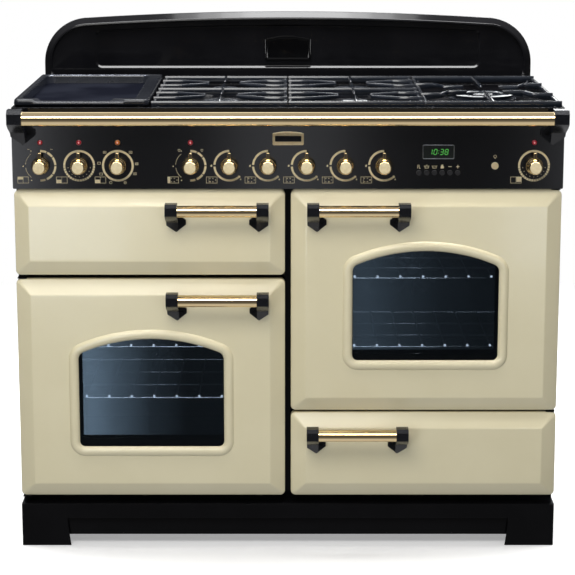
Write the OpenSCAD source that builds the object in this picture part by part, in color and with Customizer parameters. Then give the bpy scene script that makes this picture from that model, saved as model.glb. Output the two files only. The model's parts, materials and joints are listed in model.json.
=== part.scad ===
// Dual fuel range cooker, 110 cm class, two ovens, glide-out grill and drawer.
// Millimetres, +Z up from the floor, the front faces -Y, X runs to the right.

/* [Cabinet] */
// Width over the side panels
body_w = 1092; // [1040:1:1140]
// Depth from the door faces to the back panel
body_d = 608; // [590:1:640]
// Height of the plinth
plinth_h = 89; // [75:1:110]
// Shadow gap between the plinth and the lowest fronts
toe_gap = 17; // [12:1:24]
// Gap between the left and the right column of fronts
mid_gap = 11.6; // [8:0.2:16]
// Gap above the left oven door
wide_gap = 8.1; // [6:0.1:12]
// Gap between the drawer and the right oven door
small_gap = 4.1; // [3.6:0.1:8]
// Gap under the control panel
panel_gap = 5; // [4.5:0.5:9]
// Thickness of the casing sheet
sheet = 1.5; // [1:0.1:2.5]
// Corner radius of the oven mouths and of the hob's well
mouth_r = 2; // [1:0.5:6]
// Length of each plinth leg along X
leg_w = 100; // [60:1:160]
// Height of the plinth's upper band
band_h = 30; // [20:1:40]
// How far the kick strip lies behind the legs
kick_set = 12; // [6:1:20]
// Ground clearance under the kick strip
kick_clear = 20; // [10:1:30]

// Distance of the levelling feet from the sides
foot_in = 70; // [56:1:100]
// Radius of a levelling foot's pad
pad_r = 22; // [16:1:28]
// Radius of a levelling foot's stem
stem_r = 5; // [4:0.5:6]

/* [Doors and fronts] */
// Height of an oven door
door_h = 452.5; // [440:0.5:480]
// Height of the grill front
grill_h = 172; // [160:1:190]
// Depth of a door skin from its face to its rear edge
skin_d = 38; // [34:1:44]
// Depth of an oven door from its face to its inner panel
door_d = 56; // [52:1:60]
// Space between a door's inner panel and the front frame
seal_gap = 2.3; // [2:0.1:4]
// Sheet of the door skins
skin_t = 1.5; // [1:0.1:2.5]
// Width of the bevelled edge of the fronts
bevel_w = 30; // [20:1:36]
// Depth of the bevelled edge of the fronts
bevel_d = 18; // [10:1:22]
// Corner radius of the fronts
corner_r = 10; // [6:1:14]
// Distance of the hinge axis from the door's outer edge
hinge_in = 12; // [11:0.5:14]
// Hinge pin radius
pin_r = 3; // [2:0.25:4]

/* [Oven windows] */
// Width of the glass seen in the window
win_w = 293; // [240:1:320]
// Distance of the arch's crown below the door's top edge
win_drop = 120; // [110:1:150]
// Height of the window's bottom edge above the door's bottom
win_z = 108.5; // [100:0.5:120]
// Corner radius at the springing of the arch
win_rc = 16; // [12:1:24]
// Corner radius at the bottom
win_rb = 11; // [8:1:16]
// Width of the bead round the window
bead_w = 19; // [14:1:24]
// Height of the bead
bead_h = 6; // [4:0.5:8]
// Pane thickness
pane_t = 4; // [3:0.5:5]

/* [Handles and rail] */
// Radius of a handle bar
bar_r = 11.75; // [9:0.25:14]
// Length over the handle brackets
handle_w = 204; // [180:1:240]
// Distance of the bar's axis from the face
bar_reach = 48; // [42:1:54]
// Distance of the bar's axis below the front's top edge
bar_down = 32; // [30:1:40]
// Distance of the handle's outer end from the front's side edge
handle_in = 32; // [31:1:60]
// Radius of the hand rail
rail_r = 14; // [11:0.5:17]
// Distance of the hand rail's axis from the control panel
rail_reach = 56; // [50:1:64]
// Height of the hand rail's axis above the control panel's bottom edge
rail_up = 146; // [140:1:150]
// Width of a bracket arm for a handle
arm_w = 24; // [20:0.5:30]
// Bracket metal in front of a bar
lip = 2; // [1.5:0.5:4]
// Depth of the sockets that hold a bar's ends
socket = 10; // [6:1:14]
// Wall of the tubes that make the bars
bar_wall = 1.5; // [1:0.1:3]
// Clearance round a bar's end in its socket
bar_fit = 0.1; // [0.05:0.05:0.4]

/* [Control panel] */
// Height of the control panel
panel_h = 134.4; // [128:0.2:142]
// How far the control panel lies behind the door faces
panel_set = 4; // [0:1:10]
// Height of the knob axes above the panel's bottom edge
knob_up = 46.4; // [40:0.2:52]
// Pitch between neighbouring knobs, in thousandths of the width
knob_share = 70.15; // [62:0.05:74]
// Distance of the first knob from the panel's left end
knob_in = 56; // [48:1:64]
// Place of the griddle's knob left of the middle, in thousandths of the width
mid_share = 176.45; // [168:0.05:184]
// Distance of the last knob from the panel's right end
last_in = 58.7; // [50:0.1:66]
// Radius of a knob's body
knob_r = 17.5; // [15:0.25:20]
// How far a knob stands out
knob_d = 35; // [28:0.5:40]
// Radius of a spindle
spindle_r = 3; // [2.5:0.25:4]
// Height of the lamps above the knob axes
lamp_up = 46; // [42:0.5:50]
// Lamp radius
lamp_r = 5.6; // [4:0.1:7]
// Clock window width
clock_w = 66; // [60:0.5:74]
// Clock window height
clock_h = 29.5; // [26:0.5:34]
// Distance of the clock from the last knob
clock_in = 189.3; // [180:0.1:196]
// Height of the clock's middle above the knob axes
clock_up = 26.5; // [24:0.5:30]
// Radius of a timer button
btn_r = 5.2; // [4:0.1:6]
// Pitch of the timer buttons
btn_pitch = 15.4; // [14:0.1:17]
// Travel of the buttons
btn_travel = 1.5; // [1:0.1:2.5]
// Radius of the oven light button
light_r = 7; // [5.5:0.25:8]
// Distance of the oven light button from the last knob
light_in = 77.3; // [66:0.1:90]

/* [Hob] */
// Height of the hob's skirt
skirt_h = 25; // [20:1:32]
// Gap between the control panel and the hob's skirt
skirt_gap = 2; // [1.5:0.5:4]
// Depth of the well in the hob
well_d = 14; // [12:1:18]
// Depth of the griddle and the pan supports
mod_d = 493; // [470:1:500]
// How far the griddle and the pan supports lie behind the door faces
mod_set = 39; // [34:1:46]
// Height of the griddle's rim above the hob's rim
griddle_up = 13; // [8:1:18]
// Thickness of the griddle's floor
griddle_t = 4; // [3:0.5:5]
// Height of the pan supports above the hob's rim
grate_up = 9; // [6:1:14]
// Width of the pan supports' bars
bar_w = 8; // [6:0.5:10]
// Height of the pan supports' bars
bar_h = 8.5; // [6:0.5:9]
// How far the pan supports' feet stand in from the sides
leg_in = 5; // [4:1:12]
// Height of the pan supports' fingers
finger_h = 7; // [5:0.5:8]
// Distance of the burners from the middle of the module
burner_off = 118; // [105:1:128]
// Radius of a large burner's cap
cap_r = 38; // [30:1:42]
// Radius of a small burner's cap
small_cap_r = 28; // [20:1:32]
// Radius of the wok burner's outer ring
wok_r = 62; // [54:1:68]

/* [Splashback] */
// Height of the splashback's crown above the hob's rim
splash_h = 146; // [140:1:160]
// Thickness of the splashback
splash_t = 20; // [14:1:26]
// Radius of the splashback's shoulders
splash_r = 100; // [70:1:110]
// Rise of the splashback's crown over its shoulders
splash_rise = 14; // [8:1:20]
// Width of the raised border
border_w = 17; // [12:1:24]
// Width of the bare plaque
plaque_w = 99; // [80:1:120]
// Height of the bare plaque
plaque_h = 56; // [44:1:60]
// Height of the plaque's foot above the hob's rim
plaque_up = 50; // [36:1:60]
// Distance of the embossed panel from the splashback's sides
emboss_in = 114; // [80:1:140]
// Height of the embossed panel's bottom edge above the hob's rim
emboss_up = 20; // [14:1:30]

/* [Ovens] */
// Distance of a cavity's side from the front's side edge
cav_in = 50.1; // [44:0.1:60]
// Distance of an oven cavity's roof below the door's top edge
cav_drop = 44.5; // [38:0.5:52]
// Depth of an oven cavity behind the front frame
cav_d = 412; // [400:1:430]
// Height of the cavity's floor above the door's bottom
cav_z = 44; // [38:1:50]
// Height of the grill chamber
grill_cav_h = 120; // [110:1:128]
// Height of the lowest shelf level above the door's bottom
level_z = 111; // [100:1:120]
// Pitch of the shelf levels
level_pitch = 36; // [30:1:38]
// Radius of the shelf frame wire
wire_r = 3; // [2:0.25:4]
// Radius of the shelf's thin wires
thin_r = 1.5; // [1:0.25:2]
// Depth of a shelf
shelf_d = 340; // [320:1:345]
// Depth of the fan covers
cover_d = 42; // [36:1:46]
// Height of the fan covers
cover_h = 250; // [230:1:270]
// Radius of a fan
fan_r = 75; // [60:1:90]
// Travel of the grill carriage
grill_travel = 300; // [250:1:320]
// Travel of the storage drawer
drawer_travel = 380; // [300:1:400]
// Depth of the drawer's box
drawer_d = 440; // [400:1:460]
// Depth of the grill pan
pan_d = 330; // [300:1:350]

/* [Rear connections] */
// Radius of the gas inlet's thread
inlet_r = 10.5; // [8:0.25:13]
// Radius of the hole round the gas inlet
inlet_hole_r = 32; // [26:1:40]
// Radius of the cable entry
cable_r = 12; // [9:0.5:16]
// Distance of the cable entry from the side
cable_in = 76; // [50:1:110]
// Distance of the gas inlet from the side
gas_in = 116; // [90:1:140]
// Radius of the restraint holes
hook_r = 5; // [4:0.5:7]
// Distance of the restraint holes from the sides
hook_in = 46; // [30:1:66]

/* [Clearances] */
// Gap round pieces that move
gap = 0.3; // [0.2:0.05:0.6]
// Clearance of the feet's stems in their nuts
stem_fit = 0.1; // [0.05:0.05:0.3]

/* [Hidden] */
$fn = 48;

// Colours
black = [0.05, 0.05, 0.055];
cream = [0.86, 0.81, 0.62];
brass = [0.78, 0.64, 0.34];
iron = [0.12, 0.12, 0.13];
steel = [0.62, 0.63, 0.65];
enamel = [0.16, 0.17, 0.2];
glassy = [0.2, 0.25, 0.28, 0.5];
rubber = [0.1, 0.1, 0.1];

// Depth stations along Y
front_reach = rail_reach + rail_r + lip - panel_set;
face_y = front_reach - (body_d + front_reach) / 2;
back_y = face_y + body_d;
frame_y = face_y + door_d + seal_gap;
frame_t = 4;
panel_y = face_y + panel_set;
hinge_y = face_y + 25;
skin_y = face_y + skin_d;
liner_y = face_y + door_d;
cav_y0 = frame_y + frame_t;
cav_y1 = cav_y0 + cav_d;

// Column widths and places along X
col_w = (body_w - mid_gap) / 2;
col_x = (body_w + mid_gap) / 4;
half = body_w / 2;
foot_x = half - foot_in;
hook_x = half - hook_in;
cable_x = cable_in - half;
gas_x = half - gas_in;
mod_w = body_w / 4;
knob_pitch = knob_share * body_w / 1000;
knob_first = knob_in - half;
knob_mid = -mid_share * body_w / 1000;
knob_last = half - last_in;
clock_x = knob_last - clock_in;
light_x = knob_last - light_in;
cav_w = col_w - 2 * cav_in;
drawer_w = col_w - 56.2;

// Heights
win_h = door_h - win_z - win_drop;
cav_h = door_h - cav_z - cav_drop;
low_z = plinth_h + toe_gap;
left_z = low_z;
grill_z = left_z + door_h + wide_gap;
stack_h = door_h + wide_gap + grill_h;
drawer_h = stack_h - door_h - small_gap;
right_z = low_z + drawer_h + small_gap;
panel_z = low_z + stack_h + panel_gap;
panel_top = panel_z + panel_h;
knob_z = panel_z + knob_up;
lamp_z = knob_z + lamp_up;
clock_z = knob_z + clock_up;
btn_z = knob_z - 14;
light_z = knob_z;
hob_z0 = panel_top + skirt_gap;
hob_z = hob_z0 + skirt_h;
well_z = hob_z - well_d;
rail_z = panel_z + rail_up;
splash_z = hob_z + splash_h;
splash_y = back_y - splash_t;
mod_y0 = face_y + mod_set;
mod_y1 = mod_y0 + mod_d;
mod_yc = (mod_y0 + mod_y1) / 2;
knob_xs = [knob_first, knob_first + knob_pitch, knob_first + 2 * knob_pitch,
  knob_mid, knob_mid + knob_pitch, knob_mid + 2 * knob_pitch, knob_mid + 3 * knob_pitch,
  knob_mid + 4 * knob_pitch, knob_mid + 5 * knob_pitch, knob_last];
lamp_is = [0, 1, 2, 3, 9];
fan_z = level_z + 2.2 * level_pitch + 20;

// Basic shapes: a box by its corners, an outline pushed out of a front plane,
// and outlines extruded along Z or X
module box(x0, x1, y0, y1, z0, z1)
  translate([x0, y0, z0]) cube([x1 - x0, y1 - y0, z1 - z0]);
module onface(y) translate([0, y, 0]) rotate([90, 0, 0]) children();
module along_y(y0, y1) onface(y1) linear_extrude(y1 - y0) children();
module along_z(z0, z1) translate([0, 0, z0]) linear_extrude(z1 - z0) children();
module along_x(x0, x1) translate([x0, 0, 0]) rotate([90, 0, 90])
  linear_extrude(x1 - x0) children();
module rod_x(x0, x1, y, z, r) translate([x0, y, z]) rotate([0, 90, 0])
  cylinder(h = x1 - x0, r = r);
module rod_y(x, y0, y1, z, r) translate([x, y1, z]) rotate([90, 0, 0])
  cylinder(h = y1 - y0, r = r);
module rod_z(x, y, z0, z1, r) translate([x, y, z0]) cylinder(h = z1 - z0, r = r);
module tube_x(x0, x1, y, z, r) difference() {
  rod_x(x0, x1, y, z, r);
  rod_x(x0 - 1, x1 + 1, y, z, r - bar_wall);
}
module both() { children(); mirror([1, 0, 0]) children(); }
module rrect(w, h, r) {
  square([w - 2 * r, h], center = true);
  square([w, h - 2 * r], center = true);
  for (sx = [-1, 1], sy = [-1, 1])
    translate([sx * (w / 2 - r), sy * (h / 2 - r)]) circle(r);
}
module frame2d(w, h, r, t) difference() {
  rrect(w, h, r);
  rrect(w - 2 * t, h - 2 * t, max(r - t, 0.5));
}

// A front with mitred bevels, its face at y = 0 and its bottom edge at z = 0
module front_form(w, h, d, r, bw = bevel_w, bd = bevel_d) intersection() {
  along_y(0, d) translate([0, h / 2]) rrect(w, h, r);
  along_z(-1, h + 1) polygon([[-w / 2, d], [-w / 2, bd], [bw - w / 2, 0],
    [w / 2 - bw, 0], [w / 2, bd], [w / 2, d]]);
  along_x(-w / 2 - 1, w / 2 + 1) polygon([[d, 0], [bd, 0], [0, bw],
    [0, h - bw], [bd, h], [d, h]]);
}
module front_shell(w, h, d, t) difference() {
  front_form(w, h, d, corner_r);
  translate([0, t, t]) front_form(w - 2 * t, h - 2 * t, d, corner_r - t);
}

// Window outline: straight sides, small corners, then a shallow arch.
// The same centres serve every offset o. The arch ends on rays of slope 12 in 5.
corner_x = win_w / 2 - win_rc;
arch_r = corner_x * 13 / 5 + win_rc;
arch_z = win_h - arch_r;
corner_z = arch_z + corner_x * 12 / 5;
wedge_k = corner_x / 5 - 1;
module win2d(o) {
  translate([-win_w / 2 - o, win_rb]) square([win_w + 2 * o, corner_z - win_rb]);
  translate([-win_w / 2 + win_rb, -o]) square([win_w - 2 * win_rb, corner_z + o]);
  for (s = [-1, 1]) {
    translate([s * (win_w / 2 - win_rb), win_rb]) circle(win_rb + o);
    translate([s * corner_x, corner_z]) circle(win_rc + o);
  }
  intersection() {
    translate([0, arch_z]) circle(arch_r + o);
    translate([0, arch_z]) polygon([for (p = [[wedge_k, 1], [50, 1], [50, -1], [wedge_k, -1]])
      [5 * p[0] * p[1], 12 * p[0]]]);
  }
}

// Half-round bead swept round the window, proud of the face. It starts a little
// outside the window's edge. Each bend is a piece of a ring, cut by its two end rays.
bead_c = (pow(bead_w / 2, 2) + pow(bead_h, 2)) / (2 * bead_h);
bead_e = bead_w / 2 + 0.5;
module bead_profile() intersection() {
  translate([0, bead_h - bead_c]) circle(bead_c);
  translate([-bead_w, -0.6]) square([2 * bead_w, bead_h + 1]);
}
module bead_bend(x, z, r, rays) translate([x, z, 0]) intersection() {
  rotate_extrude($fn = 96) translate([r + bead_e, 0]) bead_profile();
  along_z(-2, bead_h + 2) polygon(concat([[0, 0]], rays));
}
module bead_line(x0, z0, len) translate([x0, z0, 0]) rotate([90, 0, 90])
  linear_extrude(len) bead_profile();
module window_bead() onface(0) translate([0, win_z, 0]) {
  bead_bend(0, arch_z, arch_r, [[200, 480], [-200, 480]]);
  for (s = [-1, 1]) {
    bead_bend(s * corner_x, corner_z, win_rc, [[s * 90, 0], [s * 90, 90], [s * 37.5, 90]]);
    bead_bend(s * (win_w / 2 - win_rb), win_rb, win_rb, [[s * 90, 0], [s * 90, -90], [0, -90]]);
    translate([s * (win_w / 2 + bead_e), win_rb, 0]) rotate([0, 0, 90])
      bead_line(0, 0, corner_z - win_rb);
  }
  bead_line(win_rb - win_w / 2, -bead_e, win_w - 2 * win_rb);
}

// Oven door pieces, drawn about the column's middle with the bottom at z = 0.
// s is -1 for a hinge on the left and +1 for one on the right.
module door_skin(s) color(cream) translate([0, face_y, 0]) {
  difference() {
    front_shell(col_w, door_h, skin_d, skin_t);
    along_y(-1, skin_t + 1) translate([0, win_z]) win2d(0);
    for (z = [-1, door_h - 2 * skin_t])
      rod_z(s * (col_w / 2 - hinge_in), hinge_y - face_y, z, z + 2 * skin_t + 1, pin_r + gap);
  }
  window_bead();
  // hinge bushes behind the top and bottom returns
  for (z = [skin_t - 0.2, door_h - skin_t - 19.8]) difference() {
    intersection() {
      translate([s * (col_w / 2 - hinge_in), hinge_y - face_y, z + 10])
        cube([2 * hinge_in - 2 * skin_t + 0.4, 18, 20], center = true);
      translate([0, 0.5, 0.5]) front_form(col_w - 1, door_h - 1, skin_d - 1, corner_r - 0.5);
    }
    rod_z(s * (col_w / 2 - hinge_in), hinge_y - face_y, z - 1, z + 21, pin_r + gap);
  }
}
module door_glass() color(glassy) {
  // outer pane behind the skin, cut to the arch with a margin
  along_y(face_y + skin_t, face_y + skin_t + pane_t) translate([0, win_z]) win2d(9);
  // inner pane on the inner panel
  along_y(liner_y - sheet - pane_t, liner_y - sheet)
    translate([0, win_z + win_h / 2]) rrect(win_w + 44, win_h + 34, 14);
}
module door_liner() color(enamel) {
  w = col_w - 28;
  h = door_h - 28;
  // flange that lies on the skin's rear edge
  along_y(skin_y, skin_y + sheet) translate([0, door_h / 2])
    frame2d(col_w - 1.6, door_h - 1.6, corner_r - 0.8, 14 + sheet - 0.8);
  difference() {
    along_y(skin_y, liner_y) translate([0, door_h / 2]) rrect(w, h, corner_r);
    along_y(skin_y - 1, liner_y - sheet) translate([0, door_h / 2])
      rrect(w - 2 * sheet, h - 2 * sheet, corner_r - sheet);
    along_y(skin_y, liner_y + 1) translate([0, win_z + win_h / 2])
      rrect(win_w + 16, win_h + 8, 12);
  }
}

// Cast bracket: a six-sided foot on the face, half of it growing into an arm
// that rises to the bar. s is the side on which the arm lies, r the bar radius.
module bracket(s, r, reach) {
  k = r / bar_r;
  low = 48 * k;
  w = 19 * k;
  f = reach + r + lip;
  difference() {
    intersection() {
      along_y(-f - 1, 0) polygon([[s * (arm_w * k - 4 * k), r + 3.5 * k], [-s * 4 * k, r + 3.5 * k],
        [-s * 4 * k, -low + 3 * k], [0, -low], [s * w, -low + 15 * k], [s * (arm_w - 4) * k, -8 * k]]);
      along_x(-arm_w * k - 1, arm_w * k + 1) polygon([[0, -low], [-9 * k, -low + 1],
        [-24 * k, -26 * k], [-f + 10 * k, -r - 3 * k], [-f, -r + 4 * k], [-f, r - 3 * k],
        [-f + 6 * k, r + 3.5 * k], [-reach + r + 2 * k, r + 3.5 * k], [-reach + r + 4 * k, -2 * k],
        [-18 * k, -9 * k], [0, -9 * k]]);
    }
    // blind socket that holds the end of the bar
    translate([-s * (4 * k + 1) - (s > 0 ? 0 : socket + 1), 0, 0])
      rod_x(0, socket + 1, -reach, 0, r + bar_fit);
  }
  difference() {
    along_y(-8 * k, 0) polygon([[-w, -low + 15 * k], [0, -low], [w, -low + 15 * k],
      [w, -24 * k], [0, -9 * k], [-w, -24 * k]]);
    rod_y(-s * 10 * k, -9 * k, -3 * k, -28 * k, 4 * k);
  }
}
// A bar handle on a front, x0 being the left end of the bracket pair
module bar_handle(x0, top_z) translate([0, 0, top_z - bar_down]) {
  for (s = [-1, 1]) {
    xm = x0 + handle_w / 2 + s * (handle_w / 2 - arm_w + 4);
    color(black) translate([xm, face_y, 0]) bracket(s, bar_r, bar_reach);
  }
  color(brass) tube_x(x0 + arm_w - socket + 1, x0 + handle_w - arm_w + socket - 1,
    face_y - bar_reach, 0, bar_r);
}

module at_left(z) translate([-col_x, 0, z]) children();
module at_right(z) translate([col_x, 0, z]) children();
right_end = col_w / 2 - handle_in - handle_w;
left_end = -col_w / 2 + handle_in;

// Casing
module base_frame() color(steel) {
  y0 = frame_y + frame_t;
  y1 = back_y - sheet;
  x1 = half - sheet;
  // tray with turned-up edges
  box(-x1, x1, y0, y1, plinth_h, plinth_h + sheet);
  for (s = [-1, 1]) box(s * x1 - (s > 0 ? sheet : 0), s * x1 + (s > 0 ? 0 : sheet),
    y0, y1, plinth_h, plinth_h + 30);
  box(-x1, x1, y1 - sheet, y1, plinth_h, plinth_h + 30);
  // cross rails under the tray that carry the feet
  for (y = [y0 + 40, y1 - 80]) difference() {
    box(-x1 + 10, x1 - 10, y - 20, y + 20, plinth_h - 20, plinth_h);
    box(-x1 + 9, x1 - 9, y - 20 + sheet, y + 20 - sheet, plinth_h - 20 - 1, plinth_h - sheet);
    for (s = [-1, 1]) rod_z(s * foot_x, y, plinth_h - sheet - 1, plinth_h + 1, stem_r + 2);
  }
  for (y = [y0 + 40, y1 - 80], s = [-1, 1]) difference() {
    rod_z(s * foot_x, y, plinth_h - 18, plinth_h, 11);
    rod_z(s * foot_x, y, plinth_h - 19, plinth_h + 1, stem_r + stem_fit);
  }
  // wall between the ovens
  box(-sheet / 2, sheet / 2, y0, y1 - sheet, plinth_h + sheet, panel_z);
  // deck that carries the right oven over the drawer
  box(sheet / 2, x1, y0 + sheet, cav_y1, right_z + 8, right_z + 8 + sheet);
  // channels under the left liner, the grill chamber and the right liner
  for (x = [-col_x - cav_w / 2 + 30, -col_x + cav_w / 2 - 60]) {
    channel(x, y0 + 20, plinth_h + sheet, left_z + cav_z - sheet);
    channel(x, y0 + 20, left_z + cav_z + cav_h + sheet, grill_z + grill_cav_z - sheet);
  }
  for (x = [col_x - cav_w / 2 + 30, col_x + cav_w / 2 - 60])
    channel(x, y0 + 20, right_z + 8 + sheet, right_z + cav_z - sheet);
  // drawer runners
  for (x = [col_x - drawer_w / 2 - 12, col_x + drawer_w / 2 + gap])
    box(x, x + 12 - gap, y0 + 2, y0 + 420, low_z + 40, low_z + 52);
  for (x = [sheet / 2, col_x + drawer_w / 2 + 11.9])
    for (y = [y0 + 30, y0 + 360])
      box(x, x > 10 ? x1 : col_x - drawer_w / 2 - 11.9, y, y + 20, low_z + 42, low_z + 50);
}
module channel(x, y, z0, z1) difference() {
  box(x, x + 30, y, cav_y1 - 20, z0, z1);
  box(x + sheet, x + 30 - sheet, y - 1, cav_y1 - 19, z0 + sheet, z1 - sheet);
}
grill_cav_z = (grill_h - grill_cav_h) / 2;

module side_panels() color(black) both() {
  box(half - sheet, half, frame_y, back_y, plinth_h, hob_z0);
  box(half - 16, half - sheet, cav_y0, cav_y0 + sheet, plinth_h + 32, hob_z0);
  box(half - 16, half - sheet, back_y - 2 * sheet, back_y - sheet, plinth_h + 32, hob_z0);
}

module back_panel() color(black) difference() {
  box(-half + sheet, half - sheet, back_y - sheet, back_y, plinth_h, hob_z0);
  // gas inlet, mains cable entry and the holes for the restraint hooks
  rod_y(gas_x, back_y - 5, back_y + 1, gas_z, inlet_hole_r);
  rod_y(cable_x, back_y - 5, back_y + 1, gas_z, cable_r);
  for (s = [-1, 1]) rod_y(s * hook_x, back_y - 5, back_y + 1, hook_z, hook_r);
  // vents behind each fan motor
  for (m = [[-col_x, left_z + fan_z], [col_x, right_z + fan_z]])
    for (i = [-3:3]) translate([m[0], 0, m[1] + i * 18])
      along_y(back_y - 5, back_y + 1) rrect(140, 7, 3);
}
gas_z = knob_z - 6;
hook_z = hob_z0 - 40;

module plinth() color(black) {
  y = face_y + 12;
  xi = half - leg_w;
  // legs with slanted inner edges and the band over them
  difference() {
    along_y(y, y + sheet) polygon([[-half, 0], [-xi, 0], [-xi - 8, plinth_h - band_h],
      [xi + 8, plinth_h - band_h], [xi, 0], [half, 0], [half, plinth_h], [-half, plinth_h]]);
  }
  // cheeks that join the legs and the band to the kick strip
  both() along_z(kick_clear, plinth_h - band_h) polygon([[xi + 8, y + sheet],
    [xi + 8 - sheet, y + sheet], [xi + 8 - sheet, y + kick_set], [xi + 8, y + kick_set]]);
  box(-xi - 8, xi + 8, y + sheet, y + kick_set + sheet, plinth_h - band_h, plinth_h - band_h + sheet);
  // kick strip
  box(-xi - 8, xi + 8, y + kick_set, y + kick_set + sheet, kick_clear, plinth_h - band_h);
  // top flange under the base tray and returns along the sides
  box(-half, half, y + sheet, frame_y + frame_t + 16, plinth_h - sheet, plinth_h);
  both() box(half - sheet, half, y + sheet, back_y - 60, 0, plinth_h - sheet);
  // screws in the kick strip
  for (k = [-0.36, 0.021, 0.355])
    rod_y(k * body_w, y + kick_set - 1.6, y + kick_set, 33, 4);
}

module facia_frame() color(black) {
  difference() {
    box(-half + sheet, half - sheet, frame_y, frame_y + frame_t, plinth_h, panel_top);
    for (c = [[-col_x, left_z + cav_z, cav_h], [-col_x, grill_z + grill_cav_z, grill_cav_h],
      [col_x, right_z + cav_z, cav_h]])
      translate([c[0], 0, c[1] + c[2] / 2]) along_y(frame_y - 1, frame_y + frame_t + 1)
        rrect(cav_w, c[2], mouth_r);
    box(col_x - drawer_w / 2 - 12, col_x + drawer_w / 2 + 12, frame_y - 1, frame_y + frame_t + 1,
      low_z + 10, low_z + drawer_h - 10);
    // room for the spindles and the clock behind the panel
    box(-half + 30, half - 30, frame_y - 1, frame_y + frame_t + 1, knob_z - 30, panel_top - 14);
  }
  // hinge brackets with their pins, in the gaps over and under each oven door
  for (s = [-1, 1]) {
    z0 = s < 0 ? left_z : right_z;
    x = s * (half - hinge_in);
    for (t = [0, 1]) {
      zb = t == 0 ? z0 - 0.9 - 2.4 : z0 + door_h + 0.9;
      box(x - 9, x + 9, hinge_y - 8, frame_y + 0.2, zb, zb + 2.4);
      rod_z(x, hinge_y, t == 0 ? zb : zb - 12, t == 0 ? zb + 14.4 : zb + 2.4, pin_r);
    }
  }
}

module control_panel() color(black) {
  x1 = half;
  difference() {
    union() {
      along_y(panel_y, panel_y + sheet) translate([0, panel_z + panel_h / 2]) rrect(body_w, panel_h, 3);
      box(-x1 + 3, x1 - 3, panel_y + 0.1, frame_y, panel_z, panel_z + sheet);
      box(-x1 + 3, x1 - 3, panel_y + 0.1, frame_y, panel_top - sheet, panel_top);
      both() box(x1 - sheet, x1, panel_y + 0.1, frame_y, panel_z + 3, panel_top - 3);
    }
    for (x = knob_xs) rod_y(x, panel_y - 1, panel_y + sheet + 1, knob_z, spindle_r + 1);
    for (i = lamp_is) rod_y(knob_xs[i], panel_y - 1, panel_y + sheet + 1, lamp_z, lamp_r);
    translate([clock_x, 0, clock_z]) along_y(panel_y - 1, panel_y + sheet + 1)
      rrect(clock_w, clock_h, 2);
    for (i = [0:5]) rod_y(clock_x + (i - 2.5) * btn_pitch, panel_y - 1, panel_y + sheet + 1,
      btn_z, btn_r + gap);
    rod_y(light_x, panel_y - 1, panel_y + sheet + 1, light_z, light_r + gap);
  }
}

module clock_display() color([0.03, 0.08, 0.05]) {
  // glass flush in the panel, on the module that carries the timer buttons
  translate([clock_x, 0, clock_z]) along_y(panel_y, panel_y + sheet)
    rrect(clock_w, clock_h, 2);
  difference() {
    box(clock_x - clock_w / 2 - 12, clock_x + clock_w / 2 + 12, panel_y + sheet, panel_y + 24,
      btn_z - 14, clock_z + clock_h / 2 + 6);
    for (i = [0:5]) rod_y(clock_x + (i - 2.5) * btn_pitch, panel_y + sheet - 1,
      panel_y + sheet + btn_travel + 5, btn_z, btn_r + 1 + gap);
  }
  // housing of the oven light switch
  difference() {
    rod_y(light_x, panel_y + sheet, panel_y + 24, light_z, light_r + 4);
    rod_y(light_x, panel_y + sheet - 1, panel_y + sheet + btn_travel + 5, light_z, light_r + 1 + gap);
  }
}

module indicator_lamps() color([0.6, 0.1, 0.06]) for (i = lamp_is)
  translate([knob_xs[i], panel_y, lamp_z]) rotate([90, 0, 0]) {
    translate([0, 0, -14]) cylinder(h = 14, r = lamp_r - 0.6);
    translate([0, 0, -sheet]) cylinder(h = sheet, r = lamp_r - 0.1);
    // domed lens
    intersection() {
      translate([0, 0, 2.6 - lamp_r * 1.6]) sphere(lamp_r * 1.6);
      cylinder(h = 4, r = lamp_r + 0.6);
    }
  }

module handrail() {
  k = rail_r / bar_r;
  for (s = [-1, 1]) color(black)
    translate([s * (half - (arm_w - 4) * k), panel_y, rail_z]) bracket(s, rail_r, rail_reach);
  color(brass) tube_x(-half + arm_w * k - socket + 1, half - arm_w * k + socket - 1,
    panel_y - rail_reach, rail_z, rail_r);
}

module hotplate() color(black) {
  y0 = panel_y;
  r = 6;
  difference() {
    along_z(hob_z0, hob_z) translate([0, (y0 + splash_y) / 2]) rrect(body_w, splash_y - y0, r);
    along_z(hob_z0 - 1, well_z - 2) translate([0, (y0 + splash_y) / 2])
      rrect(body_w - 4, splash_y - y0 - 4, r - 2);
    // the well that holds the griddle, the burners and the pan supports
    along_z(well_z, hob_z + 1) translate([0, (y0 + splash_y) / 2])
      rrect(body_w - 12, splash_y - y0 - 28, mouth_r);
    for (b = burner_list) rod_z(b[0], b[1], well_z - 3, well_z + 1, b[2] * 0.62);
    // window under the griddle for its element
    along_z(well_z - 3, well_z + 1) translate([-1.5 * mod_w, mod_yc]) rrect(mod_w - 90, mod_d - 150, 12);
  }
  // flue slots along the back, drawn as a raised grille
  box(186 - half, half - 186, splash_y - 12.5, splash_y - 9, well_z, hob_z - 1);
}

burner_list = [[-mod_w / 2, mod_yc - burner_off, cap_r], [-mod_w / 2, mod_yc + burner_off, small_cap_r],
  [mod_w / 2, mod_yc - burner_off, small_cap_r], [mod_w / 2, mod_yc + burner_off, cap_r],
  [1.5 * mod_w, mod_yc, wok_r]];

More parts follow.
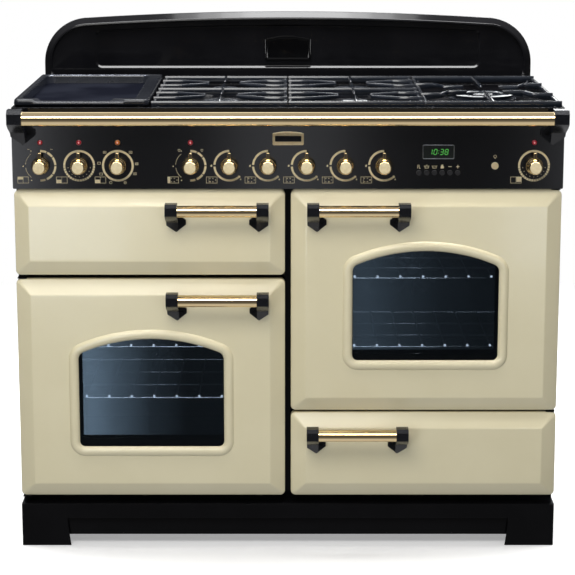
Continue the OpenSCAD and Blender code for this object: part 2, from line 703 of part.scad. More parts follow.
// Burner: base cup, crown with ports, cap
module burner(r) {
  difference() {
    union() {
      translate([0, 0, -22]) cylinder(h = 22, r = r * 0.6);
      cylinder(h = 3, r = r + 5);
      translate([0, 0, 3]) cylinder(h = 5, r = r - 3);
    }
    for (a = [0:15:359]) rotate([0, 0, a]) translate([r - 6, -0.8, 4]) cube([8, 1.6, 2.5]);
  }
  translate([0, 0, 8]) rotate_extrude() polygon([[0, 0], [r, 0], [r, 1.6], [r - 3, 3.4],
    [r * 0.45, 4.2], [0, 4.2]]);
}
module wok_burner() {
  difference() {
    union() {
      translate([0, 0, -22]) cylinder(h = 22, r = wok_r * 0.6);
      cylinder(h = 3, r = wok_r + 8);
      difference() {
        translate([0, 0, 3]) cylinder(h = 5, r = wok_r);
        translate([0, 0, 3]) cylinder(h = 6, r = wok_r - 20);
      }
      translate([0, 0, 3]) cylinder(h = 6, r = 20);
    }
    for (a = [0:12:359]) rotate([0, 0, a]) translate([wok_r - 4, -0.8, 4]) cube([6, 1.6, 2.5]);
  }
  // outer ring cap and inner cap
  translate([0, 0, 8]) rotate_extrude() polygon([[wok_r - 20, 0], [wok_r + 1, 0], [wok_r + 1, 2],
    [wok_r - 3, 4], [wok_r - 17, 4], [wok_r - 20, 2]]);
  translate([0, 0, 9]) rotate_extrude() polygon([[0, 0], [22, 0], [22, 1.5], [18, 3.4], [0, 3.4]]);
}
module burners() color(iron) {
  for (b = burner_list) translate([b[0], b[1], well_z])
    if (b[2] == wok_r) wok_burner(); else burner(b[2]);
}

// Splashback: outline with round shoulders and a shallow crown, inset by o
module splash2d(o, base) {
  w = half - o;
  sh = splash_z - splash_rise - o;
  r = max(splash_r - o, 8);
  cw = w - r;
  R = (cw * cw + pow(splash_rise, 2)) / (2 * splash_rise);
  translate([-w, base]) square([2 * w, sh - r - base]);
  translate([-cw, base]) square([2 * cw, sh - base]);
  intersection() {
    for (s = [-1, 1]) translate([s * cw, sh - r]) circle(r);
    translate([-w, base]) square([2 * w, sh - base]);
  }
  intersection() {
    translate([0, sh + splash_rise - R]) circle(R, $fn = 200);
    translate([-cw, sh - 1]) square([2 * cw, splash_rise + 2]);
  }
}
module emboss2d(o) intersection() {
  splash2d(border_w + 10 + o, hob_z + 2);
  translate([0, hob_z + emboss_up + 150]) rrect(2 * (half - emboss_in - o), 300 - 2 * o, 16 - o);
}
module splashback() color(black) {
  difference() {
    along_y(splash_y, back_y) splash2d(0, hob_z0);
    // recess inside the raised border
    along_y(splash_y - 1, splash_y + 4) splash2d(border_w, hob_z);
    // hollow back
    along_y(splash_y + 4 + sheet, back_y + 1) splash2d(sheet, hob_z0 + sheet);
  }
  // embossed edge of the inner panel
  difference() {
    along_y(splash_y + 1.6, splash_y + 4.2) emboss2d(0);
    along_y(splash_y, splash_y + 5) emboss2d(5);
  }
  // bare plaque with an arched head
  onface(splash_y + 4.2) translate([0, hob_z + plaque_up, 0]) linear_extrude(5)
    plaque2d(plaque_w, plaque_h);
}
module plaque2d(w, h) {
  translate([0, (h - 8) / 2]) rrect(w, h - 8, 5);
  intersection() {
    translate([0, h - w]) circle(w);
    translate([-w / 2 + 14, h - 20]) square([w - 28, 20]);
  }
}

// Oven liners: enamelled boxes with a front flange
module liner_box(x, z, h) translate([x, 0, z]) {
  difference() {
    union() {
      along_y(cav_y0, cav_y1) translate([0, h / 2]) rrect(cav_w + 2 * sheet, h + 2 * sheet, mouth_r + sheet);
      along_y(cav_y0, cav_y0 + sheet) translate([0, h / 2]) rrect(cav_w + 26, h + 26, 10);
    }
    along_y(cav_y0 - 1, cav_y1 - sheet) translate([0, h / 2]) rrect(cav_w, h, mouth_r);
  }
}
cover_w = cav_w - 180;
module fan_cover(x, z) translate([x, 0, z]) color(steel) {
  // pressed cover with an intake grille, standing off the back wall
  difference() {
    along_y(cav_y1 - cover_d, cav_y1 - sheet) rrect(cover_w, cover_h, 20);
    along_y(cav_y1 - cover_d + sheet, cav_y1) rrect(cover_w - 2 * sheet, cover_h - 2 * sheet, 18);
    rod_y(0, cav_y1 - 50, cav_y1 - 30, 0, 12);
    for (a = [0:30:359]) rotate([0, a, 0]) translate([0, 0, 38])
      along_y(cav_y1 - 50, cav_y1 - 35) rrect(8, 40, 3);
    for (i = [-2:2], s = [-1, 1]) translate([s * cover_w / 2, cav_y1 - 22, i * 40])
      cube([20, 12, 26], center = true);
  }
}
module oven_liners() color(enamel) {
  difference() {
    union() {
      liner_box(-col_x, left_z + cav_z, cav_h);
      liner_box(col_x, right_z + cav_z, cav_h);
    }
    for (m = [[-col_x, left_z + fan_z], [col_x, right_z + fan_z]])
      rod_y(m[0], cav_y1 - 5, cav_y1 + 1, m[1], shaft_r + 4);
  }
  fan_cover(-col_x, left_z + fan_z);
  fan_cover(col_x, right_z + fan_z);
  difference() {
    liner_box(-col_x, grill_z + grill_cav_z, grill_cav_h);
    for (x = el_leads) rod_y(-col_x - x, cav_y1 - 5, cav_y1 + 1,
      grill_z + grill_cav_z + grill_cav_h - 20, el_r + 2);
  }
  // runners for the grill carriage, fixed to the chamber's side walls
  both_at(-col_x) difference() {
    box(cav_w / 2 - 12, cav_w / 2, cav_y0 + 4, cav_y1 - 10, grill_z + grill_cav_z + 18,
      grill_z + grill_cav_z + 40);
    box(cav_w / 2 - 13, cav_w / 2 - 2, cav_y0 + 3, cav_y1 - 9, grill_z + grill_cav_z + 22,
      grill_z + grill_cav_z + 36);
  }
}
module both_at(x) translate([x, 0, 0]) both() children();

// Shelf racks: two uprights, the rungs the shelves ride on, and wall pegs
rack_x = cav_w / 2 - 9;
levels = [0, 1, 2, 3, 4, 5];
rack_y0 = cav_y0 + 20;
rack_y1 = rack_y0 + shelf_d - 20;
module rack() {
  top = level_z + 5 * level_pitch;
  for (y = [rack_y0 + 10, rack_y1 - 10]) {
    rod_z(rack_x + 3.5, y, level_z - 24, top + 24, 2);
    for (z = [level_z - 18, top + 18]) rod_x(rack_x + 3.5, cav_w / 2, y, z, 3);
  }
  for (i = levels) rod_y(rack_x, rack_y0, rack_y1, level_z + i * level_pitch, 2.5);
}
module shelf_racks() color(steel) for (c = [[-col_x, left_z], [col_x, right_z]])
  translate([c[0], 0, c[1]]) both() rack();

module door_seals() color(rubber) for (c = [[-col_x, left_z], [col_x, right_z]])
  translate([c[0], 0, c[1] + cav_z + cav_h / 2]) along_y(liner_y + gap, frame_y)
    frame2d(cav_w + 24, cav_h + 24, 16, 10);

// Elements and fan motors
el_n = 6;
el_pitch = (cav_d - 192) / 5;
el_x = cav_w / 2 - 55;
el_r = 4;
el_leads = [cav_w / 2 - 36, cav_w / 2 - 22];
module elements_and_motors() color([0.3, 0.3, 0.31]) {
  // grill element, a serpentine under the chamber roof with its leads at the left
  ez = grill_z + grill_cav_z + grill_cav_h - 20;
  ey = cav_y0 + 60;
  translate([-col_x, 0, 0]) {
    for (i = [0:el_n - 1]) rod_x(i == 0 ? -el_leads[1] : i == el_n - 1 ? -el_leads[0] : -el_x, el_x,
      ey + i * el_pitch, ez, el_r);
    for (i = [0:el_n - 2]) rod_y(i % 2 == 0 ? el_x : -el_x, ey + i * el_pitch - el_r - 0.4,
      ey + (i + 1) * el_pitch + el_r + 0.4, ez, el_r + 0.4);
    rod_y(-el_leads[1], ey - el_r - 0.4, cav_y1 + 12, ez, el_r + 0.4);
    rod_y(-el_leads[0], ey + (el_n - 1) * el_pitch - el_r - 0.4, cav_y1 + 12, ez, el_r + 0.4);
    // hangers from the roof
    for (y = [ey, ey + 4 * el_pitch], s = [-1, 1])
      box(s * 100 - 4, s * 100 + 4, y - 2, y + 2, ez, grill_z + grill_cav_z + grill_cav_h);
  }
  // ring elements round the fans, and their motors on the back walls
  for (m = [[-col_x, left_z + fan_z], [col_x, right_z + fan_z]]) translate([m[0], 0, m[1]]) {
    difference() {
      rod_y(0, cav_y1 - 26, cav_y1 - 19, 0, fan_r + 26);
      rod_y(0, cav_y1 - 27, cav_y1 - 18, 0, fan_r + 19);
    }
    for (s = [-1, 1]) rod_y(s * 20, cav_y1 - 24, cav_y1 - sheet, fan_r + 20, 3);
    rod_y(0, cav_y1, cav_y1 + 34, 0, 34);
    rod_y(0, cav_y1 - 26, cav_y1 + 1, 0, shaft_r);
  }
  // element under the griddle on a cross of straps hung from the hob
  translate([-1.5 * mod_w, mod_yc, well_z - 14]) {
    for (r = [30, 52, 74]) difference() {
      cylinder(h = 7, r = r + 3.5);
      translate([0, 0, -1]) cylinder(h = 9, r = r - 3.5);
    }
    for (a = [0, 180]) rotate([0, 0, a]) {
      box(4, mod_w / 2 - 34, -5, 5, -2, 1);
      box(mod_w / 2 - 37, mod_w / 2 - 34, -5, 5, 0.9, 12);
    }
    box(-5, 5, -76, 76, -2, 1);
  }
}
shaft_r = 4;

// Gas manifold with a tap for each burner, and a switch behind each other knob
module taps_and_switches() color(steel) {
  sy = panel_y + 46;
  rod_x(knob_xs[4] - 24, gas_x + 9, sy + 14, gas_z, 9);
  // supply pipe to the threaded inlet at the back
  rod_y(gas_x, sy + 14, back_y - 30, gas_z, 8);
  rod_y(gas_x, back_y - 38, back_y - 30, gas_z, 14);
  rod_y(gas_x, back_y - 31, back_y - sheet - 1, gas_z, inlet_r);
  for (i = [0:9]) {
    gas = i >= 4 && i <= 8;
    rod_y(knob_xs[i], panel_y - 22, sy - 18, knob_z, spindle_r);
    if (gas) {
      rod_y(knob_xs[i], sy - 26, sy + 16, knob_z, 11);
      rod_y(knob_xs[i], sy + 8, sy + 34, knob_z, 5);
    } else {
      box(knob_xs[i] - 20, knob_xs[i] + 20, sy - 26, frame_y + 30, knob_z - 22, knob_z + 22);
    }
    // mounting neck that meets the back of the panel
    difference() {
      rod_y(knob_xs[i], panel_y + sheet, sy - 20, knob_z, 8);
      rod_y(knob_xs[i], panel_y - 1, sy - 19, knob_z, spindle_r + 0.5);
      }
  }
}

module levelling_feet() color(steel) for (y = [cav_y0 + 40, back_y - sheet - 80], s = [-1, 1])
  translate([s * foot_x, y, 0]) {
    cylinder(h = 6, r = pad_r);
    translate([0, 0, 6]) cylinder(h = 8, r = 10, $fn = 6);
    cylinder(h = plinth_h - 2, r = stem_r);
  }

// Grill front, carriage and pan
module grill_front() color(cream) {
  translate([0, face_y, 0]) front_shell(col_w, grill_h, skin_d, skin_t);
}
arm_z = grill_cav_z + 24;
module grill_carriage() color(steel) {
  // back plate of the front
  along_y(skin_y, skin_y + sheet) translate([0, grill_h / 2])
    rrect(col_w - 1.6, grill_h - 1.6, corner_r - 0.8);
  // plug that closes the chamber mouth
  difference() {
    along_y(skin_y + sheet, frame_y - 0.8) translate([0, grill_h / 2]) rrect(cav_w + 30, grill_h - 24, 8);
    along_y(skin_y, frame_y - 0.8 - sheet) translate([0, grill_h / 2])
      rrect(cav_w + 30 - 2 * sheet, grill_h - 24 - 2 * sheet, 7);
  }
  // side arms in the runners and the frame that carries the pan
  both() box(cav_w / 2 - 9, cav_w / 2 - 3, frame_y - 1, cav_y1 - 30, arm_z - 1.5, arm_z + 11);
  both() box(cav_w / 2 - 22, cav_w / 2 - 9, frame_y - 1, cav_y1 - 30, arm_z - 1.5, arm_z);
  box(-cav_w / 2 + 9, cav_w / 2 - 9, cav_y1 - 32, cav_y1 - 30, arm_z - 1.5, arm_z + 8);
}
module grill_pan() {
  w = cav_w - 26;
  d = pan_d;
  y0 = cav_y0 + 14;
  z = arm_z;
  // pan with a rolled lip that rests on the carriage arms
  color(enamel) difference() {
    union() {
      along_z(z - 20, z + 8) translate([0, y0 + d / 2]) rrect(w - 20, d - 20, 18);
      along_z(z, z + 3) translate([0, y0 + d / 2]) rrect(w, d, 24);
      along_z(z + 3, z + 14) translate([0, y0 + d / 2]) rrect(w - 14, d - 14, 20);
    }
    along_z(z - 18.5, z + 20) translate([0, y0 + d / 2]) rrect(w - 23, d - 23, 17);
  }
  // wire grid on the pan
  color(steel) {
    for (s = [-1, 1]) {
      rod_x(-w / 2 + 12, w / 2 - 12, y0 + d / 2 + s * (d / 2 - 22), z + 5, 2.5);
      rod_y(s * (w / 2 - 15), y0 + 18, y0 + d - 18, z + 5, 2.5);
    }
    for (i = [-6:6]) rod_y(i * 27, y0 + 22, y0 + d - 22, z + 6, 1.5);
  }
}

// Drawer
module drawer_front() color(cream) translate([0, face_y, 0])
  front_shell(col_w, drawer_h, skin_d, skin_t);
module drawer_box() color(steel) {
  y0 = skin_y + sheet;
  y1 = y0 + drawer_d;
  w = drawer_w;
  h0 = 14;
  h1 = drawer_h - 34;
  along_y(skin_y, skin_y + sheet) translate([0, drawer_h / 2])
    rrect(col_w - 1.6, drawer_h - 1.6, corner_r - 0.8);
  difference() {
    box(-w / 2, w / 2, y0, y1, h0, h1);
    box(-w / 2 + sheet, w / 2 - sheet, y0 - 1, y1 - sheet, h0 + sheet, h1 + 1);
  }
  // slides that ride on the runners
  both() box(w / 2, w / 2 + 8, y0 + 24, y1 - 20, 52 + gap, 60);
}

// Oven shelf, drawn with its rungs at z = 0
module shelf() color(steel) {
  x = rack_x - 2;
  z = 2.5 + wire_r + gap;
  y0 = rack_y0;
  y1 = y0 + shelf_d;
  both() rod_y(x, y0, y1, z, wire_r);
  for (y = [y0 + wire_r, y1 - wire_r]) rod_x(-x, x, y, z, wire_r - 0.3);
  for (i = [-4:4]) rod_y(i * x / 4.5, y0 + wire_r, y1 - wire_r, z + 0.8, thin_r);
  for (y = [y0 + shelf_d / 3, y0 + 2 * shelf_d / 3]) rod_x(-x, x, y, z - 0.6, thin_r + 0.4);
}

// Fan impeller on the motor shaft
module fan() color(steel) {
  y1 = cav_y1 - sheet - 4;
  difference() {
    union() {
      rod_y(0, y1 - 2, y1, 0, fan_r);
      rod_y(0, y1 - 22, y1, 0, 10);
      for (a = [0:45:359]) rotate([0, a, 0]) box(-0.8, 0.8, y1 - 20, y1 - 1, 22, fan_r - 2);
    }
    rod_y(0, cav_y1 - 26 - gap, cav_y1 + 1, 0, shaft_r + gap);
  }
}

// Griddle: cast tray with a wide right rim and a lowered front
module griddle() color(iron) {
  x0 = -half + 1;
  x1 = -mod_w - 4;
  xc = (x0 + x1) / 2;
  w = x1 - x0;
  z0 = hob_z + gap;
  z1 = hob_z + griddle_up;
  floor_z = well_z + gap;
  difference() {
    union() {
      intersection() {
        along_z(z0, z1) translate([xc, mod_yc]) rrect(w, mod_d, 9);
        along_x(x0 - 1, x1 + 1) polygon([[mod_y0, z0], [mod_y1, z0], [mod_y1, z1 - 3],
          [mod_y1 - 6, z1], [mod_y0 + 5, z1], [mod_y0, z1 - 5]]);
      }
      // trough that drops into the well and stands round the element's window
      along_z(floor_z, z0 + 1) translate([xc - 7.5, mod_yc + 3]) rrect(w - 29, mod_d - 24, 9);
    }
    // cooking pan
    along_z(floor_z + griddle_t, z1 + 1) translate([xc - 8, mod_yc + 3]) rrect(w - 42, mod_d - 36, 8);
    // lowered front lip with sloped shoulders
    translate([0, -1, 0]) along_y(mod_y0 - 1, mod_y0 + 30) polygon([[x0 + 36, z1 + 1], [x0 + 42, z1 - 4],
      [x1 - 52, z1 - 4], [x1 - 46, z1 + 1]]);
    // grease notch at the back right corner
    along_z(z1 - 5, z1 + 1) translate([x1 - 28, mod_y1 - 24]) circle(7);
    // finger slot under the front edge
    box(xc - 60, xc + 40, mod_y0 - 1, mod_y0 + 14, z0 - 1, z0 + 3);
  }
}

// Pan supports: bars of cast iron with a bevelled top
module gbar(x0, y0, x1, y1, w = bar_w, h = bar_h) {
  L = norm([x1 - x0, y1 - y0]);
  translate([x0, y0, grate_z - h]) rotate([90, 0, 90 + atan2(y1 - y0, x1 - x0)])
    linear_extrude(L) polygon([[-w / 2, 0], [w / 2, 0], [w / 2, h - 2], [w / 2 - 2, h],
      [-w / 2 + 2, h], [-w / 2, h - 2]]);
}
grate_z = hob_z + grate_up;
module grate_frame() {
  w = mod_w / 2 - 1.5;
  y0 = mod_y0 + bar_w / 2;
  y1 = mod_y1 - bar_w / 2;
  for (y = [y0, y1]) gbar(-w, y, w, y);
  for (s = [-1, 1]) gbar(s * (w - bar_w / 2), y0, s * (w - bar_w / 2), y1);
  // feet that stand in the well
  for (s = [-1, 1], y = [y0, y1])
    translate([s * (w - bar_w - leg_in), y, well_z + gap])
      cylinder(h = grate_z - bar_h - well_z + 1, r = bar_w / 2);
}
module grate_two() color(iron) {
  w = mod_w / 2 - 1.5;
  grate_frame();
  gbar(-w, mod_yc, w, mod_yc);
  for (b = [-burner_off, burner_off]) {
    yb = mod_yc + b;
    open = 26;
    far = b < 0 ? mod_y0 + bar_w / 2 : mod_y1 - bar_w / 2;
    gbar(0, min(far, yb + sign(b) * open), 0, max(far, yb + sign(b) * open), bar_w, finger_h);
    gbar(0, min(mod_yc, yb - sign(b) * open), 0, max(mod_yc, yb - sign(b) * open), bar_w, finger_h);
    // pairs of fingers that close in on the burner
    for (s = [-1, 1], t = [-1, 1]) {
      gbar(s * (w - 2), yb + t * 46, s * (w - 44), yb + t * 46, bar_w, finger_h);
      gbar(s * (w - 44), yb + t * 46, s * 34, yb + t * 14, bar_w, finger_h);
    }
  }
}
module grate_wok() color(iron) {
  w = mod_w / 2 - 1.5;
  grate_frame();
  for (s = [-1, 1]) {
    gbar(0, s < 0 ? mod_y0 + 4 : mod_yc + 44, 0, s < 0 ? mod_yc - 44 : mod_y1 - 4, bar_w + 3, finger_h);
    for (t = [-1, 1]) {
      gbar(s * (w - 2), mod_yc + t * 96, s * (w - 40), mod_yc + t * 96, bar_w, finger_h);
      gbar(s * (w - 40), mod_yc + t * 96, s * (w - 58), mod_yc + t * 46, bar_w, finger_h);
      gbar(s * (w - 58), mod_yc + t * 46, s * 38, mod_yc + t * 46, bar_w, finger_h);
    }
  }
}

// Knob: turned body with a waist, a flat front and a pointer over the edge
module knob(i) color(brass) translate([knob_xs[i], panel_y - 1, knob_z]) rotate([90, 0, 0])
  difference() {
    union() {
      rotate_extrude() polygon([[0, 0], [knob_r - 1, 0], [knob_r, 1.5], [knob_r - 0.5, 5],
        [knob_r - 4, 9], [knob_r - 5.5, 14], [knob_r - 5, 19], [knob_r - 2.5, 23],
        [knob_r - 1, 27], [knob_r - 1, knob_d - 5], [knob_r - 2, knob_d - 2.5],
        [knob_r - 5, knob_d - 1], [0, knob_d - 1]]);
      // pointer
      intersection() {
        translate([0, 0, 12]) linear_extrude(knob_d - 17) polygon([[-5.5, 4], [5.5, 4],
          [5.5, knob_r + 3], [3, knob_r + 11], [-3, knob_r + 11], [-5.5, knob_r + 3]]);
        translate([-6, 0, 0]) rotate([90, 0, 90]) linear_extrude(12) polygon([[0, 12],
          [knob_r + 9, 14], [knob_r + 11, 17], [knob_r + 11, knob_d - 10], [knob_r + 8, knob_d - 6],
          [0, knob_d - 5]]);
      }
    }
    translate([0, 0, -1]) cylinder(h = 22 + gap, r = spindle_r + gap);
  }

// Push buttons with a collar behind the panel
module button(x, z, r, proud) translate([x, panel_y, z]) rotate([90, 0, 0])
  translate([0, 0, -sheet - gap]) rotate_extrude() polygon([[0, -3.5], [r - 1.5, -3.5], [r - 1.5, -1],
    [r + 0.9, -1], [r + 0.9, 0], [r, 0], [r, sheet + gap + proud - 0.5], [r - 0.6, sheet + gap + proud],
    [0, sheet + gap + proud]]);
module timer_button(i) color([0.35, 0.35, 0.36])
  button(clock_x + (i - 2.5) * btn_pitch, btn_z, btn_r, 2.5);

base_frame();
side_panels();
back_panel();
plinth();
facia_frame();
control_panel();
clock_display();
indicator_lamps();
handrail();
hotplate();
burners();
splashback();
oven_liners();
shelf_racks();
door_seals();
elements_and_motors();
taps_and_switches();
levelling_feet();
at_left(left_z) door_skin(-1);  // left_door_skin
at_left(left_z) door_glass();  // left_door_glass
at_left(left_z) door_liner();  // left_door_liner
at_left(left_z) bar_handle(right_end, door_h);  // left_door_handle
at_right(right_z) door_skin(1);  // right_door_skin
at_right(right_z) door_glass();  // right_door_glass
at_right(right_z) door_liner();  // right_door_liner
at_right(right_z) bar_handle(left_end, door_h);  // right_door_handle
at_left(grill_z) grill_front();
at_left(grill_z) bar_handle(right_end, grill_h);  // grill_handle
at_left(grill_z) grill_carriage();
at_left(grill_z) grill_pan();
at_right(low_z) drawer_front();
at_right(low_z) bar_handle(left_end, drawer_h);  // drawer_handle
at_right(low_z) drawer_box();
at_left(left_z + level_z + 5 * level_pitch) shelf();  // left_upper_shelf
at_left(left_z + level_z + 2 * level_pitch) shelf();  // left_lower_shelf
at_right(right_z + level_z + 4 * level_pitch) shelf();  // right_upper_shelf
at_right(right_z + level_z) shelf();  // right_lower_shelf
at_left(left_z + fan_z) fan();  // left_fan
at_right(right_z + fan_z) fan();  // right_fan
griddle();
translate([-mod_w / 2, 0, 0]) grate_two();  // pan_support_left
translate([mod_w / 2, 0, 0]) grate_two();  // pan_support_middle
translate([1.5 * mod_w, 0, 0]) grate_wok();  // pan_support_right
knob(0);  // knob_grill
knob(1);  // knob_left_heat
knob(2);  // knob_left_mode
knob(3);  // knob_griddle
knob(4);  // knob_burner_1
knob(5);  // knob_burner_2
knob(6);  // knob_burner_3
knob(7);  // knob_burner_4
knob(8);  // knob_burner_5
knob(9);  // knob_right_heat
color(brass) button(light_x, light_z, light_r, 4);  // light_button
timer_button(0);  // timer_button_1
timer_button(1);  // timer_button_2
timer_button(2);  // timer_button_3
timer_button(3);  // timer_button_4
timer_button(4);  // timer_button_5
timer_button(5);  // timer_button_6
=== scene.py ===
"""Dual fuel range cooker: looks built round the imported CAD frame. Metres, Z up, the front faces -Y."""
import json
from math import acos, atan2, copysign, cos, degrees, pi, radians, sin, sqrt, tan

import bmesh
import bpy
from mathutils import Matrix, Vector

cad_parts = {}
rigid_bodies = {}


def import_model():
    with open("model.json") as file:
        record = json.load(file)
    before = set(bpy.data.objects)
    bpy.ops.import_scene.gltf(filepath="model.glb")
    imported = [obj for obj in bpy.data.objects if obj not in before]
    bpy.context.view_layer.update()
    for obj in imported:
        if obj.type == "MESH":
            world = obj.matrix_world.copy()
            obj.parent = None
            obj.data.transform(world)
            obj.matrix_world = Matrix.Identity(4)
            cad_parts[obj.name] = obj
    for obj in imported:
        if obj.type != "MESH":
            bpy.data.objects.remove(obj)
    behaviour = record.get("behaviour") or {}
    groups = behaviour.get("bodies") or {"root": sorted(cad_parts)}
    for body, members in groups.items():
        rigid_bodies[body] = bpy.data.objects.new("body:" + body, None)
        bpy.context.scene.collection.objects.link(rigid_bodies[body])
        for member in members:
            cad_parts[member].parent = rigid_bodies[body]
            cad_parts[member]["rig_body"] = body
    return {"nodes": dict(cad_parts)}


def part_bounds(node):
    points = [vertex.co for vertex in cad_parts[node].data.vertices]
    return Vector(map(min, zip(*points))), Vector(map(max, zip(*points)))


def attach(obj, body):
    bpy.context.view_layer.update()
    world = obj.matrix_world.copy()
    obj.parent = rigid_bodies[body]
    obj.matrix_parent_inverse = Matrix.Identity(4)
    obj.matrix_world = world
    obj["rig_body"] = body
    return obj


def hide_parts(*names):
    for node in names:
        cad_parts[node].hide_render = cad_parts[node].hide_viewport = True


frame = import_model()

MM = 0.001
scene = bpy.context.scene
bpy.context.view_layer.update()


def cosd(t):
    return cos(radians(t))


def sind(t):
    return sin(radians(t))


def polar(r, t):
    """The point at radius r and t degrees counter-clockwise from +X."""
    return r * cosd(t), r * sind(t)


def box_mm(name):
    """A CAD node's lowest and highest corner in mm."""
    return [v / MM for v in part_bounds(name)]


# ---- camera and light
# The photograph was taken with a level camera and a rising front. A camera of the same distance
# and lens, tilted by 11.65 degrees, gives nearly its picture without a shift.
CAM_BACK, CAM_UP, CAM_TILT = 4.3461, 1.3851, 11.651
PIXELS, FOCAL_PX = 575, 2078.4

cam_data = bpy.data.cameras.new("camera")
cam_data.sensor_width = 36.0
cam_data.lens = 36.0 * FOCAL_PX / PIXELS
cam_data.clip_start, cam_data.clip_end = 0.05, 60.0
cam = bpy.data.objects.new("camera", cam_data)
cam.location = (-0.0008, -CAM_BACK, CAM_UP)
cam.rotation_euler = (radians(90 - CAM_TILT), 0, 0)
scene.collection.objects.link(cam)
scene.camera = cam


def ramp_stops(ramp, stops):
    """Sets a colour ramp's stops from pairs of place and colour."""
    band = ramp.color_ramp
    band.elements[0].position, band.elements[1].position = stops[0][0], stops[-1][0]
    for place, _ in stops[1:-1]:
        band.elements.new(place)
    for e, (place, colour) in zip(band.elements, stops):
        e.position, e.color = place, (*colour, 1)


def area_light(name, place, aim, size, power, colour=(1, 1, 1)):
    """A soft box of the given width and height, aimed at a point."""
    data = bpy.data.lights.new(name, "AREA")
    data.shape = "RECTANGLE"
    data.size, data.size_y = size
    data.energy = power
    data.color = colour
    ob = bpy.data.objects.new(name, data)
    ob.location = place
    ob.rotation_euler = (Vector(aim) - Vector(place)).to_track_quat("-Z", "Y").to_euler()
    scene.collection.objects.link(ob)
    return ob


def chosen(name, keep):
    """A collection of the scene's meshes for which keep(object) is true."""
    group = bpy.data.collections.new(name)
    for ob in scene.objects:
        if ob.type == "MESH" and keep(ob):
            group.objects.link(ob)
    return group


key = area_light("key", (-0.55, -2.35, 2.4), (0, -0.27, 0.5), (1.6, 1.2), 38, (1.0, 0.985, 0.95))
overhead = area_light("overhead", (0.0, -0.1, 2.9), (0, 0, 0), (2.8, 0.6), 85)
floor_wash = area_light("floor_wash", (0.0, 1.6, 3.4), (0, 1.6, 0), (6.0, 3.0), 160)
back = area_light("back", (0.6, 3.2, 2.0), (0, 0.3, 0.6), (1.6, 1.2), 40)
# small lights for the brass, the splashback's border and what stands behind the door glass
brass_top = area_light("brass_top", (0.0, 1.5, 2.5), (0, -0.3, 0.85), (3.2, 1.1), 9)
splash_glows = [area_light("splash_glow_%d" % k, (0.03, 0.52, 2.9 + k / 100), (0.03, 0.32, 1.0), (wide, 0.45),
                           power)
                for k, (wide, power) in enumerate(((0.40, 2.6), (0.56, 4.0), (0.74, 5.2), (0.92, 6.0)))]
glass_fill = area_light("glass_fill", (-0.3, -2.7, 1.0), (0, -0.2, 0.4), (1.7, 0.9), 150)
brass_key = area_light("brass_key", (0.15, -2.35, 2.4), (0.15, -0.27, 0.5), (4.4, 0.9), 150, (1.0, 0.985, 0.95))
step_glow = area_light("step_glow", (0, -0.35, 2.9), (0, 0.32, 0.93), (1.6, 0.9), 26)
plaque_glows = [area_light("plaque_glow_%d" % side, (side * 2.0, 0.08, 0.85), (0, 0.32, 0.97), (0.7, 0.8), 26)
                for side in (-1, 1)]
# cool window light on the outer sides of the cream fronts: from, width and power
cream_glows = [area_light("cream_glow_%d" % k, (x, -3.0, 0.5), (x * 0.35, -0.3, 0.55), (wide, 0.9), power,
                          (0.80, 0.89, 1.0))
               for k, (x, wide, power) in enumerate(((-0.98, 0.9, 20), (1.02, 0.6, 9.5)))]
# light from above on the upper bevels of the cream fronts
bevel_glow = area_light("bevel_glow", (0.0, -0.8, 3.1), (0, -0.3, 0.5), (3.0, 0.5), 30)
# upright soft boxes mirrored in the control panel: from, to and power
panel_glows = [area_light("panel_glow_%d" % k, (x, -3.3, 0.5), (x, -0.27, 0.7), (wide, 1.7), power, (0.92, 0.94, 1.0))
               for k, (x, wide, power) in enumerate(((-1.30, 0.8, 17), (0.0, 0.42, 3.4), (1.30, 0.7, 6.0)))]

world = bpy.data.worlds.new("studio")
scene.world = world
scene.view_settings.view_transform = "Standard"
world.use_nodes = True
sky = world.node_tree
soft = sky.nodes["Background"]


def node(tree, kind, **inputs):
    """A new shader node with its inputs set. An underscore stands for the space in an input's name."""
    new = tree.nodes.new("ShaderNode" + kind)
    for name, value in inputs.items():
        new.inputs[name.replace("_", " ")].default_value = value
    return new


def wire_up(tree, *pairs):
    """Links outputs to inputs, given as (node, output, node, input)."""
    for source, out, target, into in pairs:
        tree.links.new(source.outputs[out], target.inputs[into])


# a pale floor far below, a dark wall round the horizon and a bright ceiling; white for the camera itself
SKY = ((0.0, 0.64), (0.14, 0.62), (0.19, 0.37), (0.25, 0.18), (0.42, 0.11), (0.47, 0.05), (0.56, 0.06),
       (0.68, 0.20), (0.85, 0.42), (1.0, 0.46))
at, split, ramp = node(sky, "TexCoord"), node(sky, "SeparateXYZ"), node(sky, "ValToRGB")
height = node(sky, "MapRange", From_Min=-1.0)
ramp_stops(ramp, [(place, (grey, grey, grey * 1.03)) for place, grey in SKY])
plain = node(sky, "Background", Color=(1, 1, 1, 1))
ray, which = node(sky, "LightPath"), node(sky, "MixShader")
wire_up(sky, (at, "Generated", split, "Vector"), (split, "Z", height, "Value"), (height, "Result", ramp, "Fac"),
        (ramp, "Color", soft, "Color"), (ray, "Is Camera Ray", which, "Fac"), (soft, "Background", which, 1),
        (plain, "Background", which, 2), (which, "Shader", sky.nodes["World Output"], "Surface"))


# ---- materials
MATS = {}


